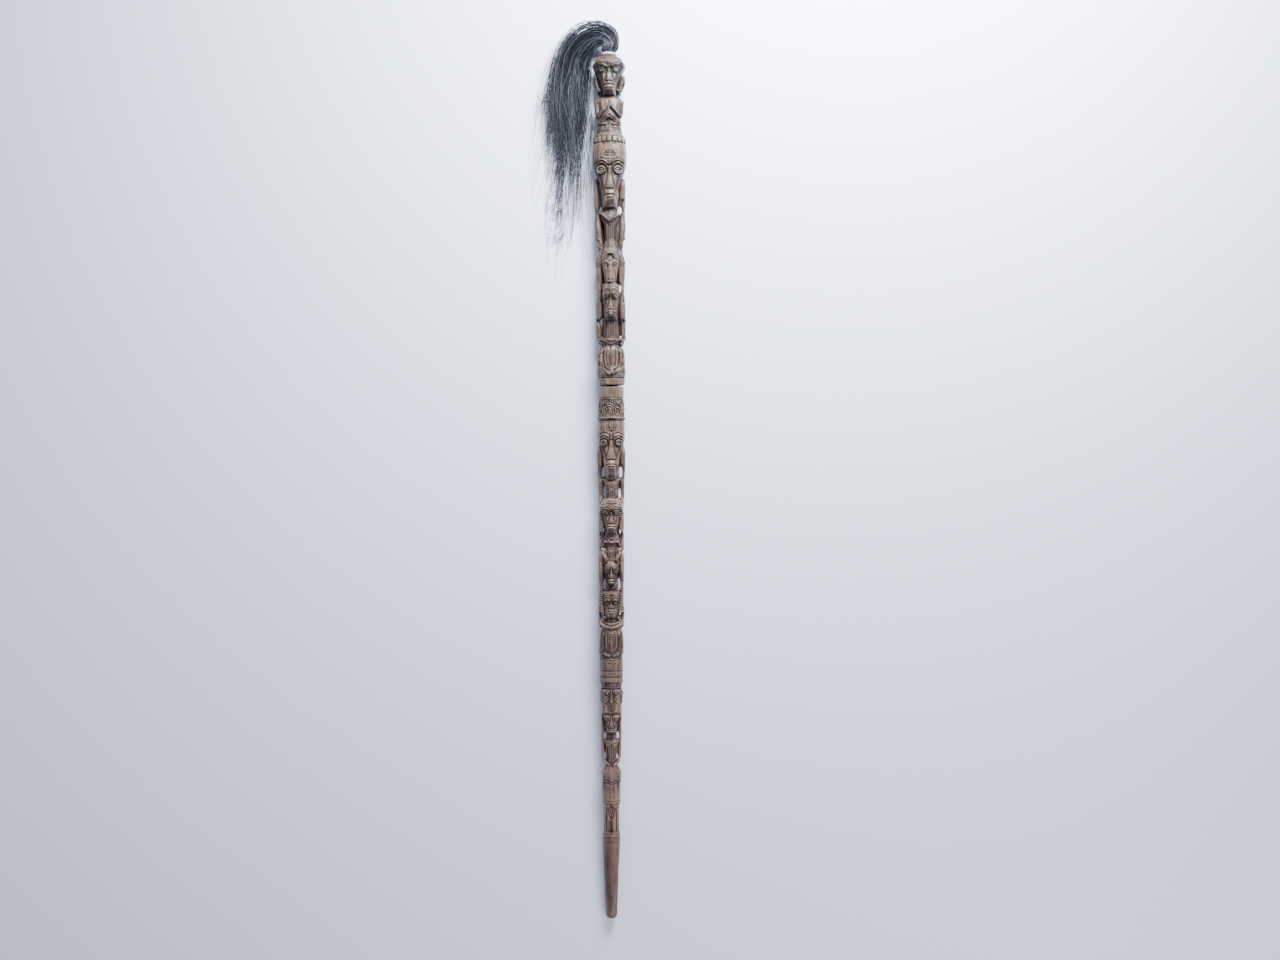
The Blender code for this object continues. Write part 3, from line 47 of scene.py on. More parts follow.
# Values that belong to the whole staff. Lengths are in millimetres, and a station is a height
# above the staff's foot.
staff = {
    "originStation": 1072.0,
    "jointStation": 1106.0,
    "crownStation": 1790.5,
    "upperLean": 0.0077,
    "voxel": 0.00085,
    "relaxRounds": 8,
    "closeRounds": 3,
    "farRounds": 22,
    "facets": 0.75,
    "grain": 0.42,
    "tooth": 0.20,
    "mostTriangles": 186000,
}
tiers = {
    "shaft": (0.0, 182.0),
    "legs": (182.0, 318.5),
    "standingBody": (318.5, 388.0),
    "standingHead": (388.0, 448.5),
    "smallBeast": (448.5, 479.5),
    "waist": (479.5, 494.0),
    "doubleBand": (494.0, 546.0),
    "squattingLegs": (546.0, 603.5),
    "smallFigure": (603.5, 681.0),
    "narrowFigure": (681.0, 764.5),
    "beardedBody": (764.5, 799.5),
    "beardedHead": (799.5, 876.5),
    "maskBody": (876.5, 914.5),
    "maskHead": (914.5, 1038.0),
    "cuff": (1038.0, 1106.0),
    "legBlock": (1110.0, 1193.5),
    "seatedBody": (1193.5, 1243.5),
    "seatedHead": (1243.5, 1318.5),
    "beastHead": (1318.5, 1389.0),
    "longBody": (1389.0, 1476.5),
    "longHead": (1476.5, 1607.5),
    "collar": (1607.5, 1628.5),
    "squattingBody": (1628.5, 1709.5),
    "topHead": (1709.5, 1790.5),
}
axisStations = (0.0, 182.0, 520.0, 1044.8, 1618.0, 1790.5)
axisHeights = (10.8, 16.5, 23.2, 28.8, 34.3, 34.3)


def axisHeight(station):
    return np.interp(station, axisStations, axisHeights)


def centreLine(station):
    # The upper section leans a little to the left of the lower one
    return -staff["upperLean"] * np.maximum(station - staff["jointStation"], 0.0)


def staffPlaces(points):
    # Across from the centre line, the station, and in front of the axis, in millimetres
    s = points[:, 1] * 1000.0 + staff["originStation"]
    return points[:, 0] * 1000.0 - centreLine(s), s, points[:, 2] * 1000.0 - axisHeight(s)


def stationOf(tier, share):
    low, high = tiers[tier]
    return low + (high - low) * share


def readNumbers(items, name, width, kind=np.float32):
    flat = np.empty(len(items) * width, kind)
    items.foreach_get(name, flat)
    return flat.reshape(-1, width)


def meshPoints(mesh):
    return readNumbers(mesh.vertices, "co", 3).astype(np.float64)


def meshNormals(mesh):
    return readNumbers(mesh.vertex_normals, "vector", 3).astype(np.float64)


def meshEdges(mesh):
    return readNumbers(mesh.edges, "vertices", 2, np.int32)


def newMesh(name, points, faces):
    mesh = bpy.data.meshes.new(name)
    mesh.from_pydata(points, [], faces)
    return mesh


def placed(name, data):
    made = bpy.data.objects.new(name, data)
    scene.collection.objects.link(made)
    return made


def setPoints(mesh, points):
    mesh.vertices.foreach_set("co", points.astype(np.float32).ravel())
    mesh.update()


def storeMark(mesh, name, values):
    mark = mesh.attributes.new(name, "FLOAT", "POINT")
    mark.data.foreach_set("value", np.asarray(values, np.float32))


def storedMark(mesh, name):
    values = np.zeros(len(mesh.vertices), np.float32)
    mesh.attributes[name].data.foreach_get("value", values)
    return values


def neighbourMean(values, edges):
    # Mean of each vertex's neighbours, by summing over the edges both ways
    size = len(values)
    count = np.bincount(edges.ravel(), minlength=size).clip(1)
    total = np.zeros_like(values)
    for column in range(values.shape[1]):
        total[:, column] += np.bincount(edges[:, 0], values[edges[:, 1], column], size)
        total[:, column] += np.bincount(edges[:, 1], values[edges[:, 0], column], size)
    return total / count[:, None]


def relax(points, edges, rounds):
    # Each round smooths by 0.6 of the way to the neighbours' mean, then swells by 0.61 of it
    for _ in range(rounds):
        points = points + 0.60 * (neighbourMean(points, edges) - points)
        points = points - 0.61 * (neighbourMean(points, edges) - points)
    return points


def evaluatedMesh(mesh, kind, values, name):
    helper = placed(name, mesh)
    change = helper.modifiers.new(name, kind)
    for key, value in values.items():
        setattr(change, key, value)
    graph = bpy.context.evaluated_depsgraph_get()
    made = bpy.data.meshes.new_from_object(helper.evaluated_get(graph))
    bpy.data.objects.remove(helper)
    return made


def valueNoise(points, seed):
    # Smooth noise from 0 to 1: random values at whole-numbered places, blended between them
    cell = np.floor(points).astype(np.int64)
    part = points - cell
    part = part * part * (3.0 - 2.0 * part)
    total = np.zeros(len(points))
    for corner in range(8):
        offset = np.array([corner & 1, corner >> 1 & 1, corner >> 2 & 1])
        spot = cell + offset
        code = (spot[:, 0] * 73856093) ^ (spot[:, 1] * 19349663) ^ (spot[:, 2] * 83492791)
        code = code ^ (seed * 2654435761)
        code = (code ^ (code >> 13)) * 1274126177 & 0xFFFFFFFF
        code = (code ^ (code >> 16)) & 0xFFFF
        weight = np.where(offset, part, 1.0 - part).prod(axis=1)
        total += weight * code / 65535.0
    return total


def ripple(value, pitch):
    # A wave from 0 to 1 that is 1 at 0 and repeats after this pitch
    return 0.5 + 0.5 * np.cos(fullTurn * value / pitch)


class Carving:
    # The dense surface of one section, and how far each vertex moves along its normal.
    # x is across from the centre line, s the station, d in front of the axis, and the angle goes
    # round the staff. The lists facing and outward say where cuts from the front or all round bite.

    def __init__(self, points, normals):
        self.x, self.s, self.d = staffPlaces(points)
        self.angle = np.arctan2(self.x, self.d)
        self.facing = np.clip((normals[:, 2] - 0.12) / 0.35, 0.0, 1.0)
        away = normals[:, 0] * np.sin(self.angle) + normals[:, 2] * np.cos(self.angle)
        self.outward = np.clip((away - 0.2) / 0.5, 0.0, 1.0)
        self.order = np.argsort(self.s)
        self.sorted = self.s[self.order]
        self.move = np.zeros(len(points))
        self.recess = np.zeros(len(points))
        self.bright = np.zeros(len(points))

    def between(self, low, high):
        first, last = np.searchsorted(self.sorted, (low, high))
        return self.order[first:last]

    def patch(self, low, high, left, right):
        # The vertices between two stations and between two places across
        near = self.between(low, high)
        return near[(self.x[near] > left) & (self.x[near] < right)]

    def cut(self, near, amount, depth):
        # A cut of this depth, or a raised line where depth is below zero
        self.move[near] -= depth * amount
        if depth > 0.0:
            self.recess[near] = np.maximum(self.recess[near], amount)
        else:
            self.bright[near] = np.maximum(self.bright[near], 0.9 * amount)

    def lighten(self, low, high, left, right, amount):
        # Rubbed pale over a patch
        near = self.patch(low, high, left, right)
        self.bright[near] = np.maximum(self.bright[near], amount * self.outward[near])

    def stroke(self, path, width, depth, beads=0.0):
        # A line seen from the front: depth falls off as exp(-(distance / width) squared).
        # With beads, the line is broken into dots that many millimetres apart.
        path = np.asarray(path, float)
        reach = 2.6 * width
        (left, low), (right, high) = path.min(axis=0) - reach, path.max(axis=0) + reach
        near = self.patch(low, high, left, right)
        near = near[self.facing[near] > 0.0]
        if not len(near):
            return
        best = np.full(len(near), 1e9)
        along = np.zeros(len(near))
        travelled = 0.0
        for a, b in zip(path, path[1:]):
            step = b - a
            length = math.hypot(*step)
            across, up = self.x[near] - a[0], self.s[near] - a[1]
            share = (across * step[0] + up * step[1]) / max(length * length, 1e-9)
            share = share.clip(0.0, 1.0)
            distance = np.hypot(across - share * step[0], up - share * step[1])
            closer = distance < best
            best[closer] = distance[closer]
            along[closer] = travelled + (share * length)[closer]
            travelled += length
        amount = np.exp(-((best / width) ** 2)) * self.facing[near]
        if beads:
            amount = amount * ripple(along, beads)
        self.cut(near, amount, depth)

    def pairs(self, width, depth, *paths, beads=0.0):
        # Each path is cut as given, and once more mirrored across the centre line
        for path in paths:
            self.stroke(path, width, depth, beads)
            self.stroke(np.asarray(path, float) * (-1.0, 1.0), width, depth, beads)

    def ring(self, station, width, depth, left=-99.0, right=99.0, slope=0.0):
        # A groove right round the staff, or only between two places across it
        reach = 2.6 * width + abs(slope) * 40.0
        near = self.patch(station - reach, station + reach, left, right)
        distance = self.s[near] - station - slope * np.abs(self.x[near])
        self.cut(near, np.exp(-((distance / width) ** 2)) * self.outward[near], depth)

    def rings(self, *rows):
        # Grooves right round the staff, each with its station, width and depth
        for station, width, depth in rows:
            self.ring(station, width, depth)

    def hatch(self, low, high, left, right, pitch, slant, depth):
        # Parallel cuts, seen from the front: where they run, x + slant * s stays the same
        near = self.patch(low, high, left, right)
        across = self.x[near]
        ends = np.minimum(self.s[near] - low, high - self.s[near])
        edge = np.minimum(np.minimum(across - left, right - across), ends)
        wave = ripple(across + slant * self.s[near], pitch * math.hypot(1.0, slant))
        self.cut(near, wave ** 2.0 * self.facing[near] * np.clip(edge, 0.0, 1.0), depth)

    def stipple(self, low, high, left, right, pitch, depth):
        # Small punched dots on a slanting net, over an oval patch
        near = self.patch(low, high, left, right)
        x, s = self.x[near], self.s[near]
        dots = np.cos(fullTurn * (x + 0.5 * s) / pitch) * np.cos(fullTurn * (s - 0.5 * x) / pitch)
        oval = ((x - 0.5 * (left + right)) / (0.5 * (right - left))) ** 2
        oval = oval + ((s - 0.5 * (low + high)) / (0.5 * (high - low))) ** 2
        amount = np.clip(dots, 0.0, 1.0) ** 1.5 * np.clip(3.0 * (1.0 - oval), 0.0, 1.0)
        self.cut(near, amount * self.facing[near], depth)


def arcPath(x, s, wide, high, start, end, steps=14):
    # Points of an oval from one angle to another, in degrees, 0 to the right and 90 up
    angles = np.radians(np.linspace(start, end, steps))
    return np.column_stack([x + wide * np.cos(angles), s + high * np.sin(angles)])


def spiralPath(x, s, radius, turns, start, side):
    angles = np.linspace(0.0, fullTurn * turns, 26)
    size = radius * np.linspace(0.12, 1.0, 26)
    return np.column_stack([x + side * size * np.cos(angles + start), s + size * np.sin(angles + start)])


def sideBands(inner, outer):
    # The two bands between these places out from the centre line: side, left edge, right edge
    return (-1.0, -outer, -inner), (1.0, inner, outer)


def carveFace(c, look):
    # One mask: every length is a share of the head's half width, every height of its own height
    low, half = look["low"], look["half"]
    tall = look["high"] - low

    def up(share):
        return low + tall * share

    eyeX = look["eyeX"] * half
    eyeS = up(look["eyeUp"])
    eye = look["eye"] * half
    line = max(0.90, 0.040 * half)
    for side in (-1.0, 1.0):
        x = side * eyeX
        if look["eyeKind"] == "spiral":
            c.stroke(spiralPath(x, eyeS, eye, 1.7, 0.6, side), line, 1.1)
        elif look["eyeKind"] == "slit":
            c.stroke(arcPath(x, eyeS, eye, 0.55 * eye, 0, 360, 24), line, 0.9)
            c.stroke([(x - 0.8 * eye, eyeS), (x + 0.8 * eye, eyeS)], line, 1.3)
            c.stroke(arcPath(x, eyeS - 0.2 * eye, 1.15 * eye, 1.25 * eye, 20, 160), 1.3 * line, -0.8)
        else:
            c.stroke(arcPath(x, eyeS, 1.12 * eye, 1.06 * eye, 0, 360, 28), 1.2 * line, 1.9)
            c.stroke(arcPath(x, eyeS, 0.84 * eye, 0.78 * eye, 0, 360, 24), line, -0.7)
            c.stroke(arcPath(x, eyeS - 0.1 * eye, 0.56 * eye, 0.50 * eye, 0, 360, 20), 0.8 * line, 1.2)
            lid = eyeS - 0.08 * eye
            c.stroke([(x - 0.62 * eye, lid), (x + 0.62 * eye, lid)], 0.9 * line, 1.5)
            c.stroke(arcPath(x, eyeS + 0.1 * eye, 1.42 * eye, 1.38 * eye, 15, 165), 1.4 * line, -1.2)
        # The hollow below the eye, and the cheek's two cut lines
        c.stroke(arcPath(x, eyeS, 1.5 * eye, 1.5 * eye, 205, 335), 1.6 * line, 0.7)
        cheek = [
            (x + side * 0.05 * half, eyeS - 1.8 * eye),
            (side * 0.42 * half, up(look["mouthUp"] + 0.16)),
            (side * 0.30 * half, up(look["mouthUp"] + 0.03)),
        ]
        c.stroke(cheek, 1.1 * line, 0.8)
    # Two lines along each brow
    brow = [(0.04, -0.05), (0.25, -0.005), (0.48, 0.015), (0.84, -0.015)]
    for lift in (0.030, -0.020):
        c.pairs(line, 1.0, [(share * half, up(look["browUp"] + rise + lift)) for share, rise in brow])
    # Short slanting cuts over the cheeks and between the brows
    cheekLow, cheekHigh = up(look["mouthUp"] + 0.06), eyeS - 1.7 * eye
    for side, left, right in sideBands(0.34 * half, 0.74 * half):
        c.hatch(cheekLow, cheekHigh, left, right, 3.6, side * 0.9, 0.55)
    for lift in (0.0, 0.045, 0.09):
        spot = up(look["browUp"] + 0.02 + lift)
        pairWidth = (0.12 + 1.6 * lift) * half
        c.stroke([(-pairWidth, spot + 2.0), (0.0, spot), (pairWidth, spot + 2.0)], 0.8 * line, 0.8)
    # The nose's sides, wings and underside
    top, bottom, wide = look["noseTop"], look["noseBottom"], look["nose"] * half
    nose = [(0.30, top), (0.62, 0.5 * (top + bottom)), (1.12, bottom + 0.02)]
    c.pairs(1.2 * line, 1.3, [(share * wide, up(height)) for share, height in nose])
    wing = arcPath(0.62 * wide, up(bottom) + 0.30 * wide, 0.42 * wide, 0.42 * wide, 100, 290)
    c.pairs(0.8 * line, 0.8, wing)
    c.stroke([(-0.9 * wide, up(bottom) - 1.2), (0.9 * wide, up(bottom) - 1.2)], 1.6 * line, 1.7)
    # Two arched lips with a dark line between them, and the chin's strokes
    mouth = up(look["mouthUp"])
    spread = look["mouth"] * half
    places = np.linspace(-1.0, 1.0, 15)
    arch = np.abs(np.sin(places * math.pi)) * 0.10 * spread - 0.10 * spread * places ** 2
    lips = np.column_stack([places * spread, mouth + arch])
    c.stroke(lips, 0.9 * line, 1.6)
    c.stroke(lips + (0.0, 2.3 * line), 1.1 * line, -0.8)
    c.stroke(lips * (0.8, 1.0) - (0.0, 2.6 * line), 1.1 * line, -0.7)
    c.stroke(arcPath(0.0, mouth - 3.2 * line, 0.62 * spread, 1.8 * line, 190, 350), 0.9 * line, 1.0)
    for share in (-0.5, -0.17, 0.17, 0.5):
        chin = [(share * spread, mouth - 6.0 * line), (0.8 * share * spread, low + 0.03 * tall)]
        c.stroke(chin, 0.7 * line, 0.7)
    if look["forehead"] == "leaf":
        middle = up(0.5 * (look["browUp"] + 0.06 + 0.97))
        size = 0.5 * (0.93 - look["browUp"]) * tall
        c.pairs(line, 1.1, arcPath(0.0, middle, 0.20 * half, size, -90, 90))
        c.stroke([(0.0, middle - size), (0.0, middle + size)], 0.8 * line, 0.8)
        c.pairs(0.8 * line, 0.7, arcPath(0.0, middle, 0.36 * half, 1.15 * size, -60, 60))
    elif look["forehead"] == "shell":
        middle = up(look["browUp"] + 0.07)
        for share in (0.12, 0.22, 0.32):
            c.stroke(arcPath(0.0, middle, share * half, share * half, 5, 175), 0.9 * line, 1.0)
        for turn in np.radians((35, 62, 90, 118, 145)):
            ray = [
                (
                    reach * math.cos(turn),
                    middle + reach * math.sin(turn),
                ) for reach in (0.34 * half, 0.46 * half)
            ]
            c.stroke(ray, 1.2 * line, -0.8)
    if look["forehead"] in ("leaf", "shell"):
        for _, left, right in sideBands(0.42 * half, 0.86 * half):
            c.stipple(up(look["browUp"] + 0.05), up(0.96), left, right, 4.4, 0.8)
    if look["forehead"] == "lattice":
        for slant in (1.0, -1.0):
            c.hatch(up(look["browUp"] + 0.03), up(0.95), -0.42 * half, 0.42 * half, 4.2, slant, 0.8)
    if look["diademUp"]:
        path = arcPath(0.0, up(look["diademUp"]) - 0.25 * half, 1.05 * half, 0.30 * half, 165, 15)
        c.stroke(path, 1.5 * line, -0.9, beads=3.2)
        c.stroke(path + (0.0, 2.4 * line), 0.7 * line, 0.8)
        c.stroke(path - (0.0, 2.4 * line), 0.7 * line, 0.8)


def carveBack(c, tier):
    # Plain locks of hair down the back of a head, cut shallower than the front
    low, high = tiers[tier]
    near = c.between(low, high)
    near = near[(c.d[near] < -4.0)]
    wave = 0.5 + 0.5 * np.cos(fullTurn * c.angle[near] * 26.0 / 4.2)
    c.cut(near, wave ** 2 * c.outward[near] * np.clip((-4.0 - c.d[near]) / 6.0, 0.0, 1.0), 0.5)


faceParts = (
    "low", "high", "half", "eyeKind", "eyeX", "eyeUp", "eye", "browUp", "noseTop", "noseBottom",
    "nose", "mouthUp", "mouth", "forehead", "diademUp",
)


def faceLook(*values):
    # Stations of its foot and top, its half width, then the shares. With no diadem, diademUp is 0.
    return dict(zip(faceParts, values))


def bracelets(c, low, high, inner, outer, pitch, depth=1.0):
    # Rings cut round both arms, between two places out from the centre line, and rubbed pale
    for station in np.arange(low + 0.5 * pitch, high, pitch):
        for _, left, right in sideBands(inner, outer):
            c.ring(station, 0.25 * pitch, 1.5 * depth, left, right)
    for _, left, right in sideBands(inner, outer):
        c.lighten(low, high, left, right, 0.55 * depth)


def scrollBand(c, low, high, count, reach):
    # Scrolls round a band: large rings about evenly spaced centres, with rays low inside them,
    # and smaller rings about the places between them
    near = c.between(low, high)
    tall = high - low
    around = c.angle[near] * reach + 6.0
    step = fullTurn * reach / count
    edge = np.clip(np.minimum(c.s[near] - low, high - c.s[near]) / 1.2, 0.0, 1.0)
    across = (around / step - np.round(around / step)) * step
    shifted = around / step - 0.5
    between = (shifted - np.round(shifted)) * step
    fromLow = np.hypot(across, c.s[near] - low - 0.32 * tall)
    fromHigh = np.hypot(between, c.s[near] - low - 0.78 * tall)
    fromSide = np.hypot(np.abs(between) - 12.0, c.s[near] - low - 0.22 * tall)
    large = fromLow < 0.30 * step
    distance = np.where(large, fromLow, np.where(fromHigh < fromSide, fromHigh, fromSide))
    wave = ripple(distance - 2.6, 5.2)
    rays = ripple(across, 4.2)
    wave = np.where(large & (c.s[near] < low + 0.28 * tall), rays, wave)
    amount = (wave ** 1.5) * edge * c.outward[near]
    c.cut(near, amount, 2.1)
    rim = np.exp(-(((fromLow - 0.30 * step) / 0.9) ** 2)) * edge * c.outward[near]
    c.cut(near, rim, 1.6)


lowerCarving = {"line": 0.9, "deep": 1.5, "shallow": 0.8}
lowerFaces = {
    "maskHead": faceLook(
        914.5, 1041.7, 28.2, "round", 0.55, 0.60, 0.26, 0.72, 0.72, 0.33, 0.34, 0.245, 0.34, "leaf", 0.0
    ),
    "beardedHead": faceLook(
        799.5, 876.5, 25.7, "slit", 0.36, 0.60, 0.17, 0.71, 0.66, 0.32, 0.25, 0.235, 0.30, "lattice", 0.86
    ),
    "narrowFigure": faceLook(
        695.2, 747.0, 15.6, "spiral", 0.60, 0.56, 0.30, 0.74, 0.74, 0.30, 0.30, 0.16, 0.34, "plain", 0.92
    ),
    "smallFigure": faceLook(
        629.9, 682.6, 19.2, "slit", 0.42, 0.60, 0.20, 0.72, 0.66, 0.34, 0.30, 0.22, 0.34, "plain", 0.90
    ),
    "standingHead": faceLook(
        388.0, 450.3, 20.8, "slit", 0.50, 0.50, 0.22, 0.66, 0.56, 0.18, 0.28, 0.10, 0.34, "lattice", 0.0
    ),
}


def carveLower(c):
    line, deep, shallow = lowerCarving["line"], lowerCarving["deep"], lowerCarving["shallow"]
    for look in lowerFaces.values():
        carveFace(c, look)
    for tier in ("maskHead", "beardedHead", "standingHead", "smallFigure"):
        carveBack(c, tier)
    # The shaft's long cracks and the ledge with its small diamond
    for x, low, high in ((5, 60, 150), (-8.5, 100, 160)):
        places = np.linspace(low, high, 9)
        c.stroke(np.column_stack([x + 0.7 * np.sin(places * 0.11 + x), places]), 0.45, 0.5)
    c.rings((177.5, 0.9, 1.0), (171, 0.7, 0.5))
    c.pairs(0.8, shallow, [(0, 183.5), (2.6, 180), (0, 176.5)])
    c.pairs(0.8, shallow, arcPath(8, 172, 4, 3, 200, 340))
    # Legs: two cracks at their foot, toes, shins and the wrap with its hanging point
    for x in (-5.2, -1.0):
        c.stroke([(x, 184), (x + 0.4, 206)], 1.0, 0.9)
    c.pairs(1.4, 0.5, [(10.5, 186), (10, 230)])
    c.pairs(0.9, 0.5, arcPath(7, 163, 5, 3, 200, 340))
    c.pairs(line, 1.3, [(14, 234), (8, 231), (3.8, 216), (0, 209)])
    c.pairs(0.7, shallow, [(14, 241), (9, 238), (0, 220)])
    c.rings((241, 0.9, 1.0), (246.5, 0.7, 0.7))
    c.pairs(line, 1.0, [(0, 286), (9, 291), (17, 289)], [(0, 281), (10, 286), (18, 284)])
    bracelets(c, 290, 300, 12.5, 24, 3.4)
    # Standing figure: ribs, navel, bracelets and fingers
    c.pairs(line, shallow, [(0, 366), (0, 330)], [(4.2, 362), (4.6, 334)], [(8.2, 358), (8, 336)])
    c.pairs(line, 1.1, [(0, 372), (7, 366), (12.5, 369)])
    bracelets(c, 340, 352, 14, 24, 3)
    bracelets(c, 364, 372, 14, 24, 2.6)
    c.pairs(0.6, shallow, [(2, 322.5), (6, 326)], [(1.5, 320), (5.5, 323.5)], [(1.0, 317.5), (5, 321)])
    bracelets(c, 392, 414, 16, 24, 3, 0.7)
    # Small beast: an oval ring eye, a stroked eye, whiskers and ringed forelegs
    c.pairs(0.8, 1.3, arcPath(9.6, 471.4, 3.6, 4.4, 0, 360, 24))
    c.pairs(line, -0.8, arcPath(9.6, 471.4, 5.6, 6.6, 20, 160))
    c.pairs(line, 1.0, [(2.2, 476), (4.6, 462), (7.6, 451)])
    c.pairs(line, 1.0, [(5.2, 466), (12.5, 457)], [(4, 459), (11, 451.5)])
    c.stroke([(-5.5, 452.5), (0, 450.5), (5.5, 452.5)], line, 1.5)
    bracelets(c, 451, 466, 17, 30, 3.2)
    # Waist and double band
    c.rings((481, 1.0, 1.0), (486, 0.7, 0.6), (505, 0.9, 0.9), (518.5, 1.0, 1.0))
    c.rings((544.5, 1.2, 1.2), (507.8, 0.6, 0.5), (541, 0.6, 0.5))
    for station, places in ((512, (-6, 0.0, 6)), (533, (-5, 1.0, 7))):
        for x in places:
            c.stroke([(x - 1.4, station), (x + 1.4, station + 1.2)], 0.6, 0.7)
    # Squatting legs: the shins' edges, knees, ribs and dashed line
    c.pairs(1.2, deep, [(13, 600), (14.2, 580), (13, 562), (8, 556)], [(20, 598), (21, 566)])
    c.pairs(0.8, shallow, [(16.5, 590), (17.2, 572)], [(7, 598), (8.4, 582), (7, 566)])
    c.pairs(line, 1.2, [(17, 560), (9, 553.5), (0, 548.5)], [(12, 564), (4, 556)])
    c.pairs(line, 1.0, arcPath(16, 597, 5, 4.4, 10, 170))
    c.stroke(arcPath(0, 556, 20, 9, 205, 335), 0.8, 1.1, beads=3.4)
    for station in (594, 589, 584):
        c.stroke([(-5, station), (0, station - 2), (5, station)], 0.7, shallow)
    # Small figure: ringed hands, belly lines and the bowl's rim
    bracelets(c, 642, 680, 14.5, 30, 4.6, 0.9)
    c.pairs(line, 1.2, [(19, 619), (12, 613.5), (0, 611)], [(17, 626), (10, 619.5), (0, 617.5)])
    c.pairs(0.7, shallow, [(1.6, 627), (1.8, 617)], [(4.6, 627), (5, 618)], [(7.8, 627), (8.4, 619)])
    c.pairs(0.7, 1.1, arcPath(12.8, 624.5, 3, 3.4, 0, 360, 18))
    # Narrow figure: fingers, bangles at the wrists and the fan of the crown
    bracelets(c, 683, 700, 15.5, 30, 3.6)
    bracelets(c, 716, 722, 15.5, 30, 2.8, 0.7)
    bracelets(c, 742, 752, 15.5, 30, 3.2, 0.7)
    c.pairs(line, 1.0, [(0, 692), (6, 697), (11, 703)], [(0, 686), (7, 691), (12, 697)])
    for share in (-0.8, -0.5, -0.2, 0.2, 0.5, 0.8):
        c.stroke([(share * 13, 750), (share * 19, 762)], 0.8, 0.9)
    # Bearded figure: beard, chest band, sunk panel, ringed hands
    c.hatch(800, 811, -9.5, 9.5, 2.9, 0.0, 0.9)
    c.pairs(line, 1.2, [(17.5, 806), (11, 797), (0, 788)], [(19, 798), (11, 789), (0, 780.5)])
    c.pairs(1.1, 1.5, [(8, 776), (8.4, 750)])
    c.stroke([(-8, 776), (8, 776)], 1.0, 1.3)
    c.hatch(752, 775, -6.8, 6.8, 3.6, 0.7, 0.7)
    bracelets(c, 806, 850, 16, 32, 4.4, 0.9)
    bracelets(c, 784, 794, 18, 32, 3, 0.7)
    c.pairs(0.8, 1.1, arcPath(20, 771, 4, 4, 0, 360, 18))
    for share in (-0.9, -0.62, -0.36, -0.12, 0.12, 0.36, 0.62, 0.9):
        c.stroke([(share * 20, 861), (share * 15, 874)], 0.7, 0.7)
    # Mask figure's body: crossed bands and ribs, roped strands beside the chin
    c.pairs(line, 1.1, [(0, 905), (7, 899), (12, 902)], [(0, 899), (7.5, 893), (12, 896)])
    c.pairs(0.7, shallow, [(2.2, 890), (2.2, 880)], [(5.4, 891), (5.8, 881)])
    for side, left, right in sideBands(18.5, 32):
        c.hatch(916, 972, left, right, 4.2, side, 1.0)
        c.hatch(880, 908, left, right, 4.6, -side * 0.9, 0.8)
    # Cuff: the joint's plain band with its cracks, two grooves, the scrolls and the rim
    scrollBand(c, 1046, 1078.5, 3, 28)
    c.rings((1079.6, 0.8, 1.2), (1083.6, 0.8, 1.2), (1045, 0.9, 1.2))
    c.rings((1040.6, 0.7, 0.8), (1036, 0.9, 1.2), (1032.8, 0.7, 0.8))
    for x, low in ((-5.2, 1085), (-1.0, 1088), (14, 1086)):
        places = np.linspace(low, 1105, 6)
        c.stroke(np.column_stack([x + 0.5 * np.sin(places * 0.4), places]), 0.45, 0.9)


upperCarving = {"line": 0.95, "shallow": 0.85}
upperFaces = {
    "topHead": faceLook(
        1709.5, 1790.5, 34.0, "slit", 0.42, 0.62, 0.20, 0.72, 0.72, 0.32, 0.27, 0.215, 0.30, "plain", 0.83
    ),
    "longHead": faceLook(
        1476.5, 1610.0, 35.35, "round", 0.50, 0.57, 0.275, 0.70, 0.68, 0.28, 0.25, 0.18, 0.30, "shell", 0.0
    ),
    "seatedHead": faceLook(
        1243.5, 1318.5, 18.3, "spiral", 0.52, 0.66, 0.30, 0.80, 0.72, 0.30, 0.36, 0.20, 0.46, "plain", 0.93
    ),
}


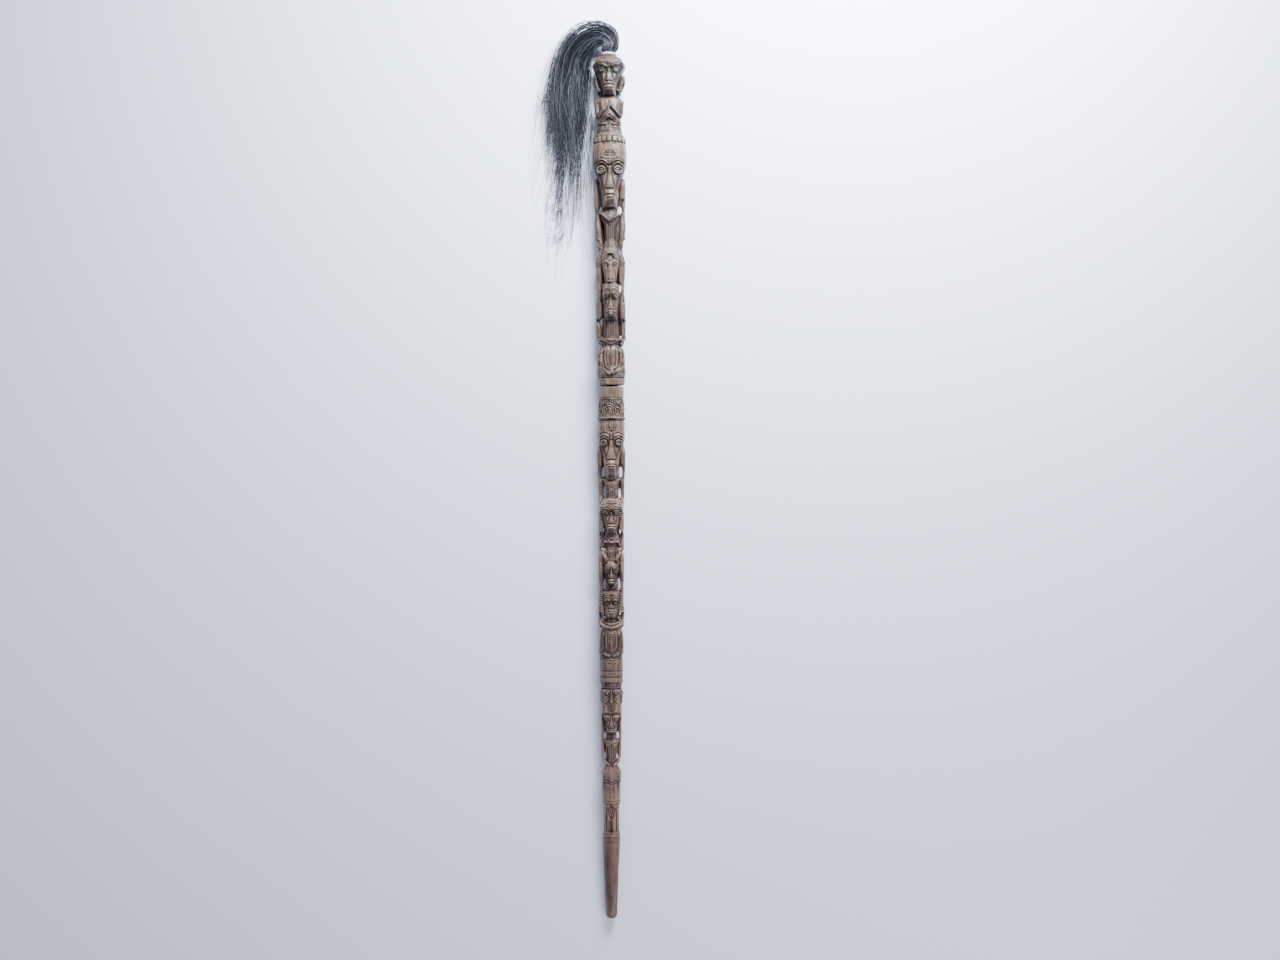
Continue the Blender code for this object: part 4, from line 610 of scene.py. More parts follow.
def carveUpper(c):
    line, shallow = upperCarving["line"], upperCarving["shallow"]
    for look in upperFaces.values():
        carveFace(c, look)
    for tier in ("topHead", "longHead", "seatedHead"):
        carveBack(c, tier)
    # Leg block: the U between the legs, inner lobes, chevrons and the groove of its band
    c.pairs(1.4, 1.9, [(15.5, 1188), (16.8, 1165), (14, 1146), (6, 1140)])
    c.pairs(line, 1.1, [(9, 1184), (9.6, 1162), (7.6, 1148)], [(23, 1184), (25, 1150)])
    c.stroke([(0, 1186), (0, 1150)], line, 1.1)
    for drop in (0, 4.2, 8.4):
        c.pairs(0.8, 1.0, [(15 - 0.5 * drop, 1140 - drop), (0, 1134.5 - drop)])
    c.pairs(line, 1.2, arcPath(20, 1168, 5.5, 6.5, -60, 160))
    c.pairs(0.8, 1.0, spiralPath(21, 1151, 4.4, 1.3, 0.4, 1.0))
    c.rings((1124.4, 1.1, 1.4), (1128.6, 0.7, 0.6))
    # Seated figure: the belt's V, ribs, ringed hands and knobs
    c.pairs(line, 1.3, [(24, 1203), (12, 1197), (0, 1190)], [(27, 1208), (13, 1203.5), (0, 1197)])
    c.pairs(0.8, shallow, [(1.8, 1238), (1.8, 1210)], [(5.4, 1238), (5.8, 1211)])
    c.pairs(0.8, shallow, [(9.6, 1236), (10.4, 1212)])
    bracelets(c, 1246, 1281, 17.5, 34, 5, 1.0)
    bracelets(c, 1214, 1226, 19, 34, 3.4, 0.8)
    c.pairs(0.7, 0.9, [(6, 1258), (10.5, 1250)], [(5, 1253), (9, 1246)], [(7, 1263), (12, 1255)])
    c.pairs(0.8, 1.1, arcPath(22, 1194, 5, 4.6, 0, 360, 20))
    # Beast: spiral eyes, nostrils, lip, teeth, the crest's beads and the forelegs' cuts
    for side in (-1.0, 1.0):
        c.stroke(spiralPath(side * 10.6, 1356, 5.6, 1.6, 0.5, side), line, 1.3)
        c.stroke(arcPath(side * 10.6, 1356.5, 7.6, 8, 20, 160), 1.1, -0.9)
        c.stroke(arcPath(side * 4.2, 1326.5, 1.6, 1.6, 0, 360, 12), 0.8, 1.1)
    c.pairs(line, 1.1, [(9.4, 1348), (10.4, 1336), (10, 1322)])
    c.stroke(arcPath(0, 1322.5, 9, 2.6, 185, 355), line, 1.3)
    c.stroke(arcPath(0, 1371, 15, 12, 20, 160), 1.3, -1.0, beads=3.6)
    for station in (1367, 1375):
        c.stroke(arcPath(0, station, 15, 12, 20, 160), 0.8, 1.0)
    bracelets(c, 1322, 1340, 20, 34, 4, 0.8)
    for side, left, right in sideBands(18, 34):
        c.hatch(1352, 1380, left, right, 4.6, side * 0.8, 0.8)
    # Long figure: folds, necklace, bracelets, fingers on the knees
    c.pairs(line, 1.0, [(0, 1448), (0, 1412)], [(4.4, 1450), (4.6, 1412)], [(9, 1452), (9.4, 1413)])
    c.pairs(0.9, -0.9, [(0, 1441), (9, 1452), (18, 1466)], beads=3.4)
    c.pairs(0.8, 1.1, [(0, 1435.5), (10, 1447), (20, 1462)])
    bracelets(c, 1410, 1428, 16.5, 34, 4.4, 0.9)
    bracelets(c, 1448, 1458, 18, 34, 3.2, 0.7)
    for shift in (0, 3, 6):
        c.pairs(0.8, 1.0, [(17 + shift, 1400), (15 + shift, 1391)])
    for side, left, right in sideBands(22, 36):
        for station in np.arange(1470.0, 1535.0, 4.2):
            c.ring(station, 0.8, 0.9, left, right, side * 0.25)
    for shift in (0, 3.4, 6.6):
        path = [(24.2 + 0.55 * shift, 1536 - shift), (33, 1536 - shift), (33, 1512)]
        c.stroke(path, 0.8, 1.1)
    # Collar: grooves either side of the blocks and a mark on each block
    c.rings((1608.6, 0.9, 1.2), (1621.6, 0.9, 1.2), (1624.6, 0.7, 0.9))
    near = c.between(1608, 1622)
    wave = (0.5 - 0.5 * np.cos(18 * c.angle[near])) ** 5
    c.cut(near, wave * c.outward[near] * np.clip((7 - np.abs(c.s[near] - 1614.8)) / 1.5, 0.0, 1.0), 1.8)
    # Squatting figure: arm stripes, chest, shins and the drum's crescent
    for shift in np.arange(0.0, 30.0, 4.4):
        c.pairs(0.8, 1.0, [(30.5, 1694 - shift), (20, 1688 - shift)])
    c.pairs(line, 1.1, [(0, 1698), (4.6, 1688), (10, 1680)], [(0, 1690), (5, 1680), (14, 1668)])
    c.pairs(line, 1.1, [(0, 1668), (9, 1661), (20, 1653)], [(3, 1663), (12, 1656), (19, 1650)])
    c.pairs(1.0, -0.8, arcPath(12, 1649.5, 7, 3.4, 20, 160))
    for station, left, right in ((1640, 2, 22), (1636.5, 6, 20), (1633.5, -20, -4)):
        c.stroke([(left, station), (0.5 * (left + right), station - 2), (right, station)], 1.0, 0.9)
    c.rings((1644.2, 0.9, 1.1), (1629.6, 0.8, 0.9))
    # Head of the top figure: cupped ears, dotted cap
    c.pairs(0.9, 1.3, arcPath(26.5, 1731, 3.8, 11, -80, 90))
    c.pairs(0.8, 1.0, arcPath(26, 1731, 1.8, 6, -80, 90))
    for slant in (0.8, -0.8):
        c.hatch(1779, 1790, -20, 20, 3.6, slant, 0.6)


def woodSection(node, carve, seed):
    # The section's own solid, made dense and smooth, carved along its normals and thinned out
    solid = evaluatedMesh(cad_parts[node].data.copy(), "WELD", {"merge_threshold": 0.00001}, "merge")
    dense = evaluatedMesh(solid, "REMESH", {"mode": "VOXEL", "voxel_size": staff["voxel"]}, "dense")
    edges = meshEdges(dense)
    points = relax(meshPoints(dense), edges, staff["relaxRounds"])
    setPoints(dense, points)
    normals = meshNormals(dense)
    c = Carving(points, normals)
    carve(c)
    # Knife facets, long grain and fine tooth: noise stretched along the staff
    place = np.column_stack([c.x, c.s, c.d])
    facets = valueNoise(place / (6.0, 14.0, 6.0), seed) - 0.5
    grain = valueNoise(place / (1.7, 26.0, 1.7), seed + 1) - 0.5
    tooth = valueNoise(place / (1.1, 3.2, 1.1), seed + 2) - 0.5
    c.move += staff["facets"] * facets + staff["grain"] * grain + staff["tooth"] * tooth
    points = points + normals * (c.move * 0.001)[:, None]
    points = points + 0.35 * (neighbourMean(points, edges) - points)
    low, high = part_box(node)
    # The carving keeps this close to the solid's box, and above the floor
    slack = 0.0008
    points = np.clip(points, np.array(low) + (-slack, -slack, 0.00005), np.array(high) + slack)
    setPoints(dense, points)
    storeMark(dense, "recess", c.recess)
    storeMark(dense, "bright", c.bright)
    triangles = 2 * len(dense.polygons)
    share = min(1.0, staff["mostTriangles"] / triangles)
    made = evaluatedMesh(dense, "DECIMATE", {"ratio": share}, "thin")
    made.name = node + "_carved"
    print(node, "dense", triangles, "kept", len(made.polygons))
    return made


def wearMarks(mesh, seed):
    # Cuts and hollows get grime and painted shade, and edges are rubbed pale: both come from how far
    # the surface lies under or over its own smoothed copy, close by and further off
    points = meshPoints(mesh)
    edges = meshEdges(mesh)
    normals = meshNormals(mesh)
    recess = storedMark(mesh, "recess")
    bright = storedMark(mesh, "bright")
    smooth = points.copy()
    for _ in range(staff["closeRounds"]):
        smooth = neighbourMean(smooth, edges)
    near = ((smooth - points) * normals).sum(axis=1) * 1000.0
    for _ in range(staff["farRounds"]):
        smooth = neighbourMean(smooth, edges)
    far = ((smooth - points) * normals).sum(axis=1) * 1000.0
    x, s, d = staffPlaces(points)
    place = np.column_stack([x, s, d])
    patch = valueNoise(place / (9.0, 30.0, 9.0), seed) - 0.5
    # Grime and painted shade: cuts, small hollows and broad hollows are darkened
    grimeAndShade = 0.75 * recess + 1.5 * near.clip(0.0, 1.0) + 0.50 * far.clip(0.0, 1.2) + 0.25 * patch
    grimeAndShade = grimeAndShade.clip(0.0, 1.0)
    wear = 2.6 * (-near).clip(0.0, 1.0) + 0.9 * (-far).clip(0.0, 1.2) - 0.5 * recess + 0.35 * patch
    wear = wear.clip(0.0, 1.0)
    pale = np.zeros(len(points))
    for tier, low, high, amount in paleTiers:
        first, last = stationOf(tier, low), stationOf(tier, high)
        inside = np.clip(np.minimum(s - first, last - s) / 6.0 + 0.5, 0.0, 1.0)
        pale = np.maximum(pale, amount * inside)
    pale = np.clip(pale + 0.5 * patch * (pale > 0.02), 0.0, 1.0)
    pale = np.maximum(pale, bright * (1.0 - 0.6 * recess))
    handled = np.clip((s - 168.0) / 12.0, 0.0, 1.0)
    grimeAndShade = grimeAndShade * (0.35 + 0.65 * handled)
    wear = wear * (0.35 + 0.65 * handled)
    ruddy = np.zeros(len(points))
    for tier, share, offset, spread, amount in ruddyPatches:
        distance = ((s - stationOf(tier, share)) / spread) ** 2 + ((x - offset) / (0.6 * spread)) ** 2
        ruddy = np.maximum(ruddy, amount * np.exp(-distance))
    # Painted shade: the wood is made darker towards the top of the staff, where the key lamp is strongest
    kept = np.interp(s, paintedShadeStations, paintedShadeKept)
    marks = {"grimeAndShade": grimeAndShade, "wear": wear, "pale": pale, "ruddy": ruddy, "kept": kept}
    for name, values in marks.items():
        storeMark(mesh, name, values)
    for name in ("recess", "bright"):
        mesh.attributes.remove(mesh.attributes[name])


# Where the wood is rubbed paler: tier, from and to as shares of its height, and how much
paleTiers = (
    ("shaft", 0.0, 1.0, 0.24),
    ("legs", 0.0, 0.35, 0.26),
    ("legs", 0.35, 0.62, 0.34),
    ("standingBody", 0.1, 0.9, 0.12),
    ("standingHead", 0.5, 1.0, 0.30),
    ("smallBeast", 0.05, 0.6, 0.36),
    ("waist", 0.2, 0.9, 0.15),
    ("doubleBand", 0.0, 0.45, 0.46),
    ("doubleBand", 0.5, 1.0, 0.34),
    ("squattingLegs", 0.86, 1.0, 0.50),
    ("smallFigure", 0.12, 0.32, 0.42),
    ("smallFigure", 0.45, 0.9, 0.16),
    ("narrowFigure", 0.50, 1.0, 0.42),
    ("beardedBody", 0.0, 0.35, 0.40),
    ("beardedHead", 0.25, 0.70, 0.22),
    ("beardedHead", 0.70, 1.0, 0.66),
    ("maskHead", 0.26, 0.62, 0.42),
    ("maskHead", 0.62, 1.0, 0.74),
    ("cuff", 0.0, 0.58, 0.66),
    ("cuff", 0.62, 1.0, 0.66),
    ("legBlock", 0.0, 0.15, 0.66),
    ("legBlock", 0.2, 0.9, 0.52),
    ("seatedBody", 0.0, 0.3, 0.45),
    ("seatedBody", 0.3, 1.0, 0.16),
    ("seatedHead", 0.25, 0.82, 0.34),
    ("seatedHead", 0.82, 1.0, 0.72),
    ("beastHead", 0.0, 0.95, 0.55),
    ("longBody", 0.0, 0.25, 0.28),
    ("longBody", 0.25, 0.8, 0.16),
    ("longHead", 0.0, 0.30, 0.52),
    ("longHead", 0.30, 0.68, 0.38),
    ("longHead", 0.68, 1.0, 0.85),
    ("collar", 0.0, 1.0, 0.80),
    ("squattingBody", 0.0, 0.2, 0.20),
    ("squattingBody", 0.55, 1.0, 0.45),
    ("topHead", 0.0, 0.72, 0.12),
    ("topHead", 0.78, 1.0, 0.74),
)
# Where red-brown shows: tier, share of its height, place across, reach and how much
ruddyPatches = (
    ("squattingLegs", 0.55, 0.0, 26.0, 0.9),
    ("narrowFigure", 0.05, 0.0, 16.0, 0.6),
    ("beardedBody", 0.75, 0.0, 14.0, 0.7),
    ("maskBody", 0.3, 0.0, 22.0, 0.5),
    ("cuff", 0.85, 3.0, 14.0, 0.3),
    ("legBlock", 0.10, 0.0, 18.0, 0.5),
    ("seatedBody", 0.15, 0.0, 20.0, 0.6),
    ("longBody", 0.20, 14.0, 12.0, 0.7),
    ("longBody", 0.80, -24.0, 14.0, 0.6),
    ("longHead", 0.85, -20.0, 14.0, 0.35),
    ("topHead", 0.10, 0.0, 12.0, 0.5),
)


def addNode(tree, kind, inputs=None, settings=None):
    made = tree.nodes.new(kind)
    for key, value in (settings or {}).items():
        setattr(made, key, value)
    for key, value in (inputs or {}).items():
        if isinstance(value, bpy.types.NodeSocket):
            tree.links.new(value, made.inputs[key])
        else:
            made.inputs[key].default_value = value
    return made


def mixColour(tree, factor, a, b, kind="MIX"):
    settings = {"data_type": "RGBA", "blend_type": kind}
    return addNode(tree, "ShaderNodeMix", {0: factor, 6: a, 7: b}, settings).outputs[2]


def maths(tree, kind, a, b=0.0, clamp=False):
    made = addNode(tree, "ShaderNodeMath", {0: a, 1: b}, {"operation": kind, "use_clamp": clamp})
    return made.outputs[0]


def plainLook(name, roughness):
    # A material with its shader: not metal, and with this roughness unless something is linked to it
    look = bpy.data.materials.new(name)
    look.use_nodes = True
    shader = look.node_tree.nodes["Principled BSDF"]
    shader.inputs["Roughness"].default_value = roughness
    shader.inputs["Metallic"].default_value = 0.0
    return look, look.node_tree, shader


def grainGroup():
    # Gives masks for wood grain that runs along Y: broad streaks, fine dark pores and blotches
    tree = bpy.data.node_groups.new("long_grain", "ShaderNodeTree")
    for name, scale in (("Streak Scale", 90.0), ("Pore Scale", 420.0)):
        socket = tree.interface.new_socket(name, in_out="INPUT", socket_type="NodeSocketFloat")
        socket.default_value = scale
    for name in ("Streaks", "Pores", "Blotches"):
        tree.interface.new_socket(name, in_out="OUTPUT", socket_type="NodeSocketFloat")
    start = tree.nodes.new("NodeGroupInput")
    end = tree.nodes.new("NodeGroupOutput")
    place = addNode(tree, "ShaderNodeTexCoord").outputs["Object"]
    long = addNode(tree, "ShaderNodeMapping", {"Vector": place, "Scale": (1.0, 0.06, 1.0)}).outputs[0]
    kinds = (
        (long, start.outputs[0], 5.0, 0.6),
        (long, start.outputs[1], 3.0, 0.7),
        (place, 38.0, 6.0, 0.65),
    )
    for index, (vector, scale, detail, rough) in enumerate(kinds):
        values = {"Vector": vector, "Scale": scale, "Detail": detail, "Roughness": rough}
        noise = addNode(tree, "ShaderNodeTexNoise", values)
        tree.links.new(noise.outputs[0], end.inputs[index])
    return tree


grain = grainGroup()
woodColours = {
    "grimeAndShade": (0.010, 0.006, 0.006, 1.0),
    "dark": (0.044, 0.0175, 0.020, 1.0),
    "middle": (0.094, 0.0425, 0.042, 1.0),
    "pale": (0.320, 0.182, 0.112, 1.0),
    "edge": (0.450, 0.315, 0.225, 1.0),
    "dullEdge": (0.195, 0.112, 0.106, 1.0),
    "ruddy": (0.125, 0.038, 0.042, 1.0),
    "roughness": 0.50,
    "specular": 0.37,
}
# How much of its colour the wood keeps at some stations: painted shade darkens it towards the top, where
# the key lamp is strongest
paintedShadeStations = (0, 250, 430, 500, 620, 860, 1000, 1080, 1300, 1500, 1600, 1700, 1790)
paintedShadeKept = (0.68, 0.74, 0.86, 0.42, 0.66, 0.70, 0.48, 0.36, 0.35, 0.29, 0.31, 0.22, 0.21)


def woodMaterial():
    look, tree, shader = plainLook("weathered_wood", woodColours["roughness"])
    masks = addNode(tree, "ShaderNodeGroup", settings={"node_tree": grain})

    def mix(factor, a, b, kind="MIX"):
        return mixColour(tree, factor, a, b, kind)

    def plus(a, b):
        return maths(tree, "ADD", a, b, True)

    def times(a, b, clamp=False):
        return maths(tree, "MULTIPLY", a, b, clamp)

    marks = {}
    for name in ("grimeAndShade", "wear", "pale", "ruddy", "kept"):
        mark = addNode(tree, "ShaderNodeAttribute", settings={"attribute_name": name})
        marks[name] = mark.outputs["Fac"]
    spread = []
    for mask, (low, high) in zip(masks.outputs, ((0.34, 0.68), (0.30, 0.46), (0.36, 0.66))):
        spread.append(addNode(tree, "ShaderNodeMapRange", {0: mask, 1: low, 2: high}).outputs[0])
    streaks, pores, blotches = spread
    colour = mix(streaks, woodColours["dark"], woodColours["middle"])
    palePart = times(marks["pale"], maths(tree, "ADD", 0.55, times(blotches, 0.6)), True)
    colour = mix(palePart, colour, woodColours["pale"])
    colour = mix(times(marks["ruddy"], blotches), colour, woodColours["ruddy"])
    edge = times(marks["wear"], maths(tree, "ADD", 0.45, times(streaks, 0.5)), True)
    rubbed = mix(plus(0.2, marks["pale"]), woodColours["dullEdge"], woodColours["edge"])
    colour = mix(edge, colour, rubbed)
    # Grime and painted shade darken the cuts and hollows
    dirt = maths(tree, "POWER", marks["grimeAndShade"], 0.8)
    colour = mix(times(dirt, 0.94), colour, woodColours["grimeAndShade"])
    colour = mix(times(maths(tree, "SUBTRACT", 1.0, pores), 0.5), colour, woodColours["grimeAndShade"])
    # Painted shade: the colour is multiplied down towards the top of the staff
    colour = mix(1.0, colour, marks["kept"], "MULTIPLY")
    tree.links.new(colour, shader.inputs["Base Color"])
    rough = plus(woodColours["roughness"], times(marks["grimeAndShade"], 0.25))
    rough = maths(tree, "SUBTRACT", rough, times(marks["wear"], 0.12), True)
    tree.links.new(rough, shader.inputs["Roughness"])
    shader.inputs["Specular IOR Level"].default_value = woodColours["specular"]
    height = maths(tree, "ADD", times(streaks, 0.5), pores)
    bump = addNode(tree, "ShaderNodeBump", {"Height": height, "Strength": 0.35, "Distance": 0.00035})
    tree.links.new(bump.outputs[0], shader.inputs["Normal"])
    return look


def addPiece(name, mesh, look, nodes):
    piece = placed(name, mesh)
    mesh.materials.clear()
    mesh.materials.append(look)
    mesh.shade_smooth()
    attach(piece, "root")
    if nodes:
        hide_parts(*nodes)


wood = woodMaterial()
for node, carve, seed in (("lower_staff", carveLower, 11), ("upper_staff", carveUpper, 29)):
    carved = woodSection(node, carve, seed)
    wearMarks(carved, seed + 5)
    addPiece(node + "_carved", carved, wood, [node])
print("wood sections carved")

# The plume's middle line: left of the crown, above the crown, half width, half thickness, and how
# far it has sunk from the axis to the floor. In pairs ending in Rows, the first row at which hairs
# end and how many rows more at most. Drift is a mean and a spread. Other pairs are least and most.
plume = {
    "rows": (
        (0.0, 0.5, 10.4, 10.4, 0.0),
        (0.0, 7.0, 11.0, 10.8, 0.0),
        (0.4, 14.0, 16.5, 14.5, 0.0),
        (2.0, 30.0, 25.0, 16.0, 0.03),
        (16.5, 36.5, 31.0, 15.5, 0.12),
        (42.0, 30.5, 36.0, 14.0, 0.38),
        (70.0, 4.0, 34.0, 12.5, 0.74),
        (80.0, -34.0, 32.5, 11.5, 0.94),
        (84.0, -73.0, 30.0, 10.8, 1.0),
        (83.0, -122.0, 26.5, 9.2, 1.0),
        (81.0, -170.0, 22.5, 7.4, 1.0),
        (79.0, -220.0, 20.0, 5.4, 1.0),
        (79.0, -278.0, 21.0, 3.6, 1.0),
        (80.0, -344.0, 20.0, 2.6, 1.0),
        (82.0, -410.0, 18.0, 2.2, 1.0),
        (84.0, -476.0, 15.0, 2.0, 1.0),
    ),
    "locks": 170,
    "bundleRows": (7.6, 2.6),
    "looseRows": (7.9, 3.6),
    "flyRows": (8.6, 6.2),
    "strands": 2500,
    "looseStrands": 560,
    "flyStrands": 430,
    "curls": 46,
    "steps": 17,
    "radius": 0.40,
    "flyRadius": (0.36, 0.72),
    "curlRadius": (0.40, 0.60),
    "curlSize": (7.0, 18.0),
    "coreSize": 0.66,
    "wave": 3.9,
    "drawn": (0.62, 0.94),
    "strayBundle": 0.04,
    "strayLoose": 0.26,
    "sheenLocks": 0.17,
    "sheenStrands": 0.07,
    "bend": (4.0, 14.0),
    "drift": (-13.0, 22.0),
    "seed": 7,
}
lastRow = len(plume["rows"]) - 1
# The hair's own dark colour, and a painted bluish-grey sheen that lit strands get
hairColours = {
    "dark": (0.003, 0.003, 0.006, 1.0),
    "light": (0.215, 0.235, 0.315, 1.0),
    "roughness": 0.40,
    "specular": 0.24,
}


def spineAt(places):
    # Rows of the middle line at any place from 0 to 1, smooth through each of them (Catmull-Rom)
    rows = np.array(plume["rows"])
    rows = np.vstack([2 * rows[0] - rows[1], rows, 2 * rows[-1] - rows[-2]])
    spot = np.clip(places, 0.0, 0.99999) * (len(rows) - 3)
    first = spot.astype(int)
    t = (spot - first)[..., None]
    a, b, c, d = (rows[first + k] for k in range(4))
    point = 2 * b + (c - a) * t + (2 * a - 5 * b + 4 * c - d) * t ** 2
    return 0.5 * (point + (3 * b - a - 3 * c + d) * t ** 3)


def plumePoint(places, across, up):
    # A point of the plume: across and up are shares of its half width and half thickness there
    row = spineAt(places)
    ahead = spineAt(np.clip(places + 0.01, 0.0, 1.0)) - spineAt(np.clip(places - 0.01, 0.0, 1.0))
    run = np.stack([-ahead[..., 0], ahead[..., 1]], axis=-1)
    run /= np.linalg.norm(run, axis=-1, keepdims=True) + 1e-9
    top = float(axisHeight(staff["crownStation"]))
    # The inside of the tight bend over the crown is drawn together
    bend = np.exp(-(((places * lastRow - 4.0) / 1.7) ** 2))
    across = np.where(across < 0.0, across * (1.0 - 0.62 * bend), across)
    x = -row[..., 0] + run[..., 1] * row[..., 2] * across
    s = staff["crownStation"] + row[..., 1] - run[..., 0] * row[..., 2] * across
    z = top + (row[..., 3] + 0.6 - top) * np.clip(row[..., 4], 0.0, 1.0) + row[..., 3] * up
    return np.stack([x + centreLine(s), s - staff["originStation"], z], axis=-1)


def tubesMesh(name, paths, radii, sheenAmounts):
    # Three-sided tubes along many paths at once: paths is strands by steps by 3, in millimetres
    count, steps, _ = paths.shape
    ahead = np.gradient(paths, axis=1)
    ahead /= np.linalg.norm(ahead, axis=2, keepdims=True) + 1e-9
    side = np.cross(ahead, (0.13, 0.21, 0.97))
    side /= np.linalg.norm(side, axis=2, keepdims=True) + 1e-9
    other = np.cross(ahead, side)
    rings = []
    for k in range(3):
        turn = fullTurn * k / 3.0
        rings.append(paths + (side * math.cos(turn) + other * math.sin(turn)) * radii[..., None])
    points = np.stack(rings, axis=2).reshape(-1, 3) * 0.001
    base = (np.arange(count)[:, None, None] * steps + np.arange(steps - 1)[None, :, None]) * 3
    k = np.arange(3)[None, None, :]
    nextK = (k + 1) % 3
    faces = np.stack([base + k, base + 3 + k, base + 3 + nextK, base + nextK], axis=-1).reshape(-1, 4)
    mesh = newMesh(name, points.tolist(), faces.tolist())
    storeMark(mesh, "paintedSheen", np.repeat(sheenAmounts.ravel(), 3))
    return mesh


def keptInside(paths, below, above):
    # Paths folded back where they leave the tuft's box, moved out by these millimetres
    low, high = (np.array(corner) * 1000.0 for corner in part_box("hair_tuft"))
    low, high = low + below, high + above
    paths = low + np.abs(paths - low)
    return high - np.abs(high - paths)


def strandPaths(count, seed, loose):
    # Strands gather into locks: each keeps its own place at the root and is drawn towards its
    # lock's middle further down, and a lock sways as one, with a little sway of each strand's own
    rng = np.random.default_rng(seed)
    locks = plume["locks"]
    lock = rng.integers(0, locks, count)
    lockTurn = rng.uniform(0.0, fullTurn, locks)
    lockSpread = np.sqrt(rng.uniform(0.02, 1.0, locks))
    if loose:
        lockSpread = 0.72 + 0.42 * rng.uniform(0.0, 1.0, locks)
    first, more = plume["looseRows"] if loose else plume["bundleRows"]
    lockEnd = (first + more * rng.beta(1.3, 1.9, locks)) / lastRow
    stray = rng.uniform(0.0, 1.0, locks) < plume["strayLoose" if loose else "strayBundle"]
    away = stray * rng.normal(0.30, 0.55, locks)
    turn = rng.uniform(0.0, fullTurn, count)
    spread = np.sqrt(rng.uniform(0.02, 1.0, count))
    end = np.clip(lockEnd[lock] * rng.uniform(0.80, 1.04, count), 0.2, 1.0)
    line = np.linspace(0.0, 1.0, plume["steps"])
    places = line[None, :] * end[:, None]
    drawn = np.clip((places - 0.02) / 0.40, 0.0, 1.0) * rng.uniform(*plume["drawn"], (count, 1))

    def gathered(own, shared):
        return (1.0 - drawn) * own[:, None] + drawn * shared[lock][:, None]

    across = gathered(np.cos(turn) * spread, np.cos(lockTurn) * lockSpread)
    up = gathered(np.sin(turn) * spread, np.sin(lockTurn) * lockSpread)
    across = across - away[lock][:, None] * np.clip(places - 0.30, 0.0, 1.0) * 2.4
    phase = rng.uniform(0.0, fullTurn, (locks, 3))[lock]
    own = rng.uniform(0.0, fullTurn, (count, 2))
    swing = (plume["wave"] * rng.uniform(0.5, 1.5, locks) * (1.0 + stray))[lock][:, None]
    growth = np.clip((places - 0.08) / 0.34, 0.0, 1.0)
    slow = np.sin(places * 10.0 + phase[:, :1]) * swing * growth
    fast = np.sin(places * 31.0 + phase[:, 1:2]) * 0.42 * swing * growth
    thin = np.clip((places - 0.48) / 0.26, 0.0, 1.0)
    wander = np.sin(places * 21.0 + own[:, :1]) * (0.30 + 0.8 * thin) * plume["wave"] * growth
    lift = np.sin(places * 14.0 + phase[:, 2:3]) * 0.5 * swing * growth
    paths = plumePoint(places, across, up)
    paths[..., 0] += slow + fast + wander
    paths[..., 1] += 0.4 * slow
    paths[..., 2] += lift + 0.8 * np.sin(places * 23.0 + own[:, 1:2])
    paths = keptInside(paths, (-4.0, -4.0, 0.1), (2.0, 8.0, 1.5))
    radii = plume["radius"] * rng.uniform(0.65, 1.25, (count, 1)) * (1.0 - 0.60 * line[None, :] ** 2)
    # Painted sheen: some locks and single strands are coloured bluish grey as if lit, less towards the root
    # and the ends
    light = (rng.uniform(0.0, 1.0, locks) < plume["sheenLocks"])[lock]
    light = light | (rng.uniform(0.0, 1.0, count) < plume["sheenStrands"])
    sheenAmounts = np.where(light, rng.uniform(0.4, 1.0, count), 0.05 * rng.uniform(0.0, 1.0, count))
    return paths, radii, sheenAmounts[:, None] * np.clip(places / 0.22, 0.0, 1.0) * (1.0 - 0.65 * thin)


def flyingPaths(count, seed):
    # Single coarse hairs that stand apart: each starts in the plume, hangs with its own slow
    # bends and crosses its neighbours. The last of them arch over the crest.
    rng = np.random.default_rng(seed)
    line = np.linspace(0.0, 1.0, plume["steps"])[None, :]
    first, more = plume["flyRows"]
    start = rng.uniform(3.5, 7.5, (count, 1)) / lastRow
    end = (first + more * rng.beta(1.25, 2.2, (count, 1))) / lastRow
    crest = np.arange(count)[:, None] >= count * 14 // 15
    start = np.where(crest, 0.05 + 0.10 * rng.uniform(0.0, 1.0, (count, 1)), start)
    end = np.where(crest, start + rng.uniform(0.20, 0.42, (count, 1)), end)
    places = start + (end - start) * line
    side = rng.uniform(-1.25, 1.25, (count, 1))
    side = np.where(crest, rng.uniform(0.78, 1.08, (count, 1)), side)
    up = np.where(crest, rng.uniform(-0.4, 0.9, (count, 1)), rng.uniform(0.2, 1.05, (count, 1)))
    paths = plumePoint(places, side + 0.0 * line, up + 0.0 * line)
    phase = rng.uniform(0.0, fullTurn, (count, 3, 1))
    bend = np.where(crest, 1.6, rng.uniform(*plume["bend"], (count, 1))) * line
    drift = np.where(crest, 0.0, rng.normal(*plume["drift"], (count, 1)))
    paths[..., 0] += drift * line ** 1.5
    paths[..., 0] += bend * (np.sin(line * 4.5 + phase[:, 0]) + 0.45 * np.sin(line * 13.0 + phase[:, 1]))
    paths[..., 1] += 0.25 * bend * np.sin(line * 7.0 + phase[:, 2])
    # Beside the wood they keep clear of it
    beside = (paths[..., 1] < 700.0) & (paths[..., 0] > -40.0)
    paths[..., 0] = np.where(beside, -80.0 - paths[..., 0], paths[..., 0])
    paths = keptInside(paths, (-6.0, -6.0, 0.1), (4.0, 8.0, 1.5))
    radii = rng.uniform(*plume["flyRadius"], (count, 1)) * (1.0 - 0.45 * line ** 2)
    # Painted sheen: each hair is coloured a little bluish grey at random
    return paths, radii, 0.30 * rng.uniform(0.0, 1.0, (count, 1)) ** 2.0 + 0.0 * line


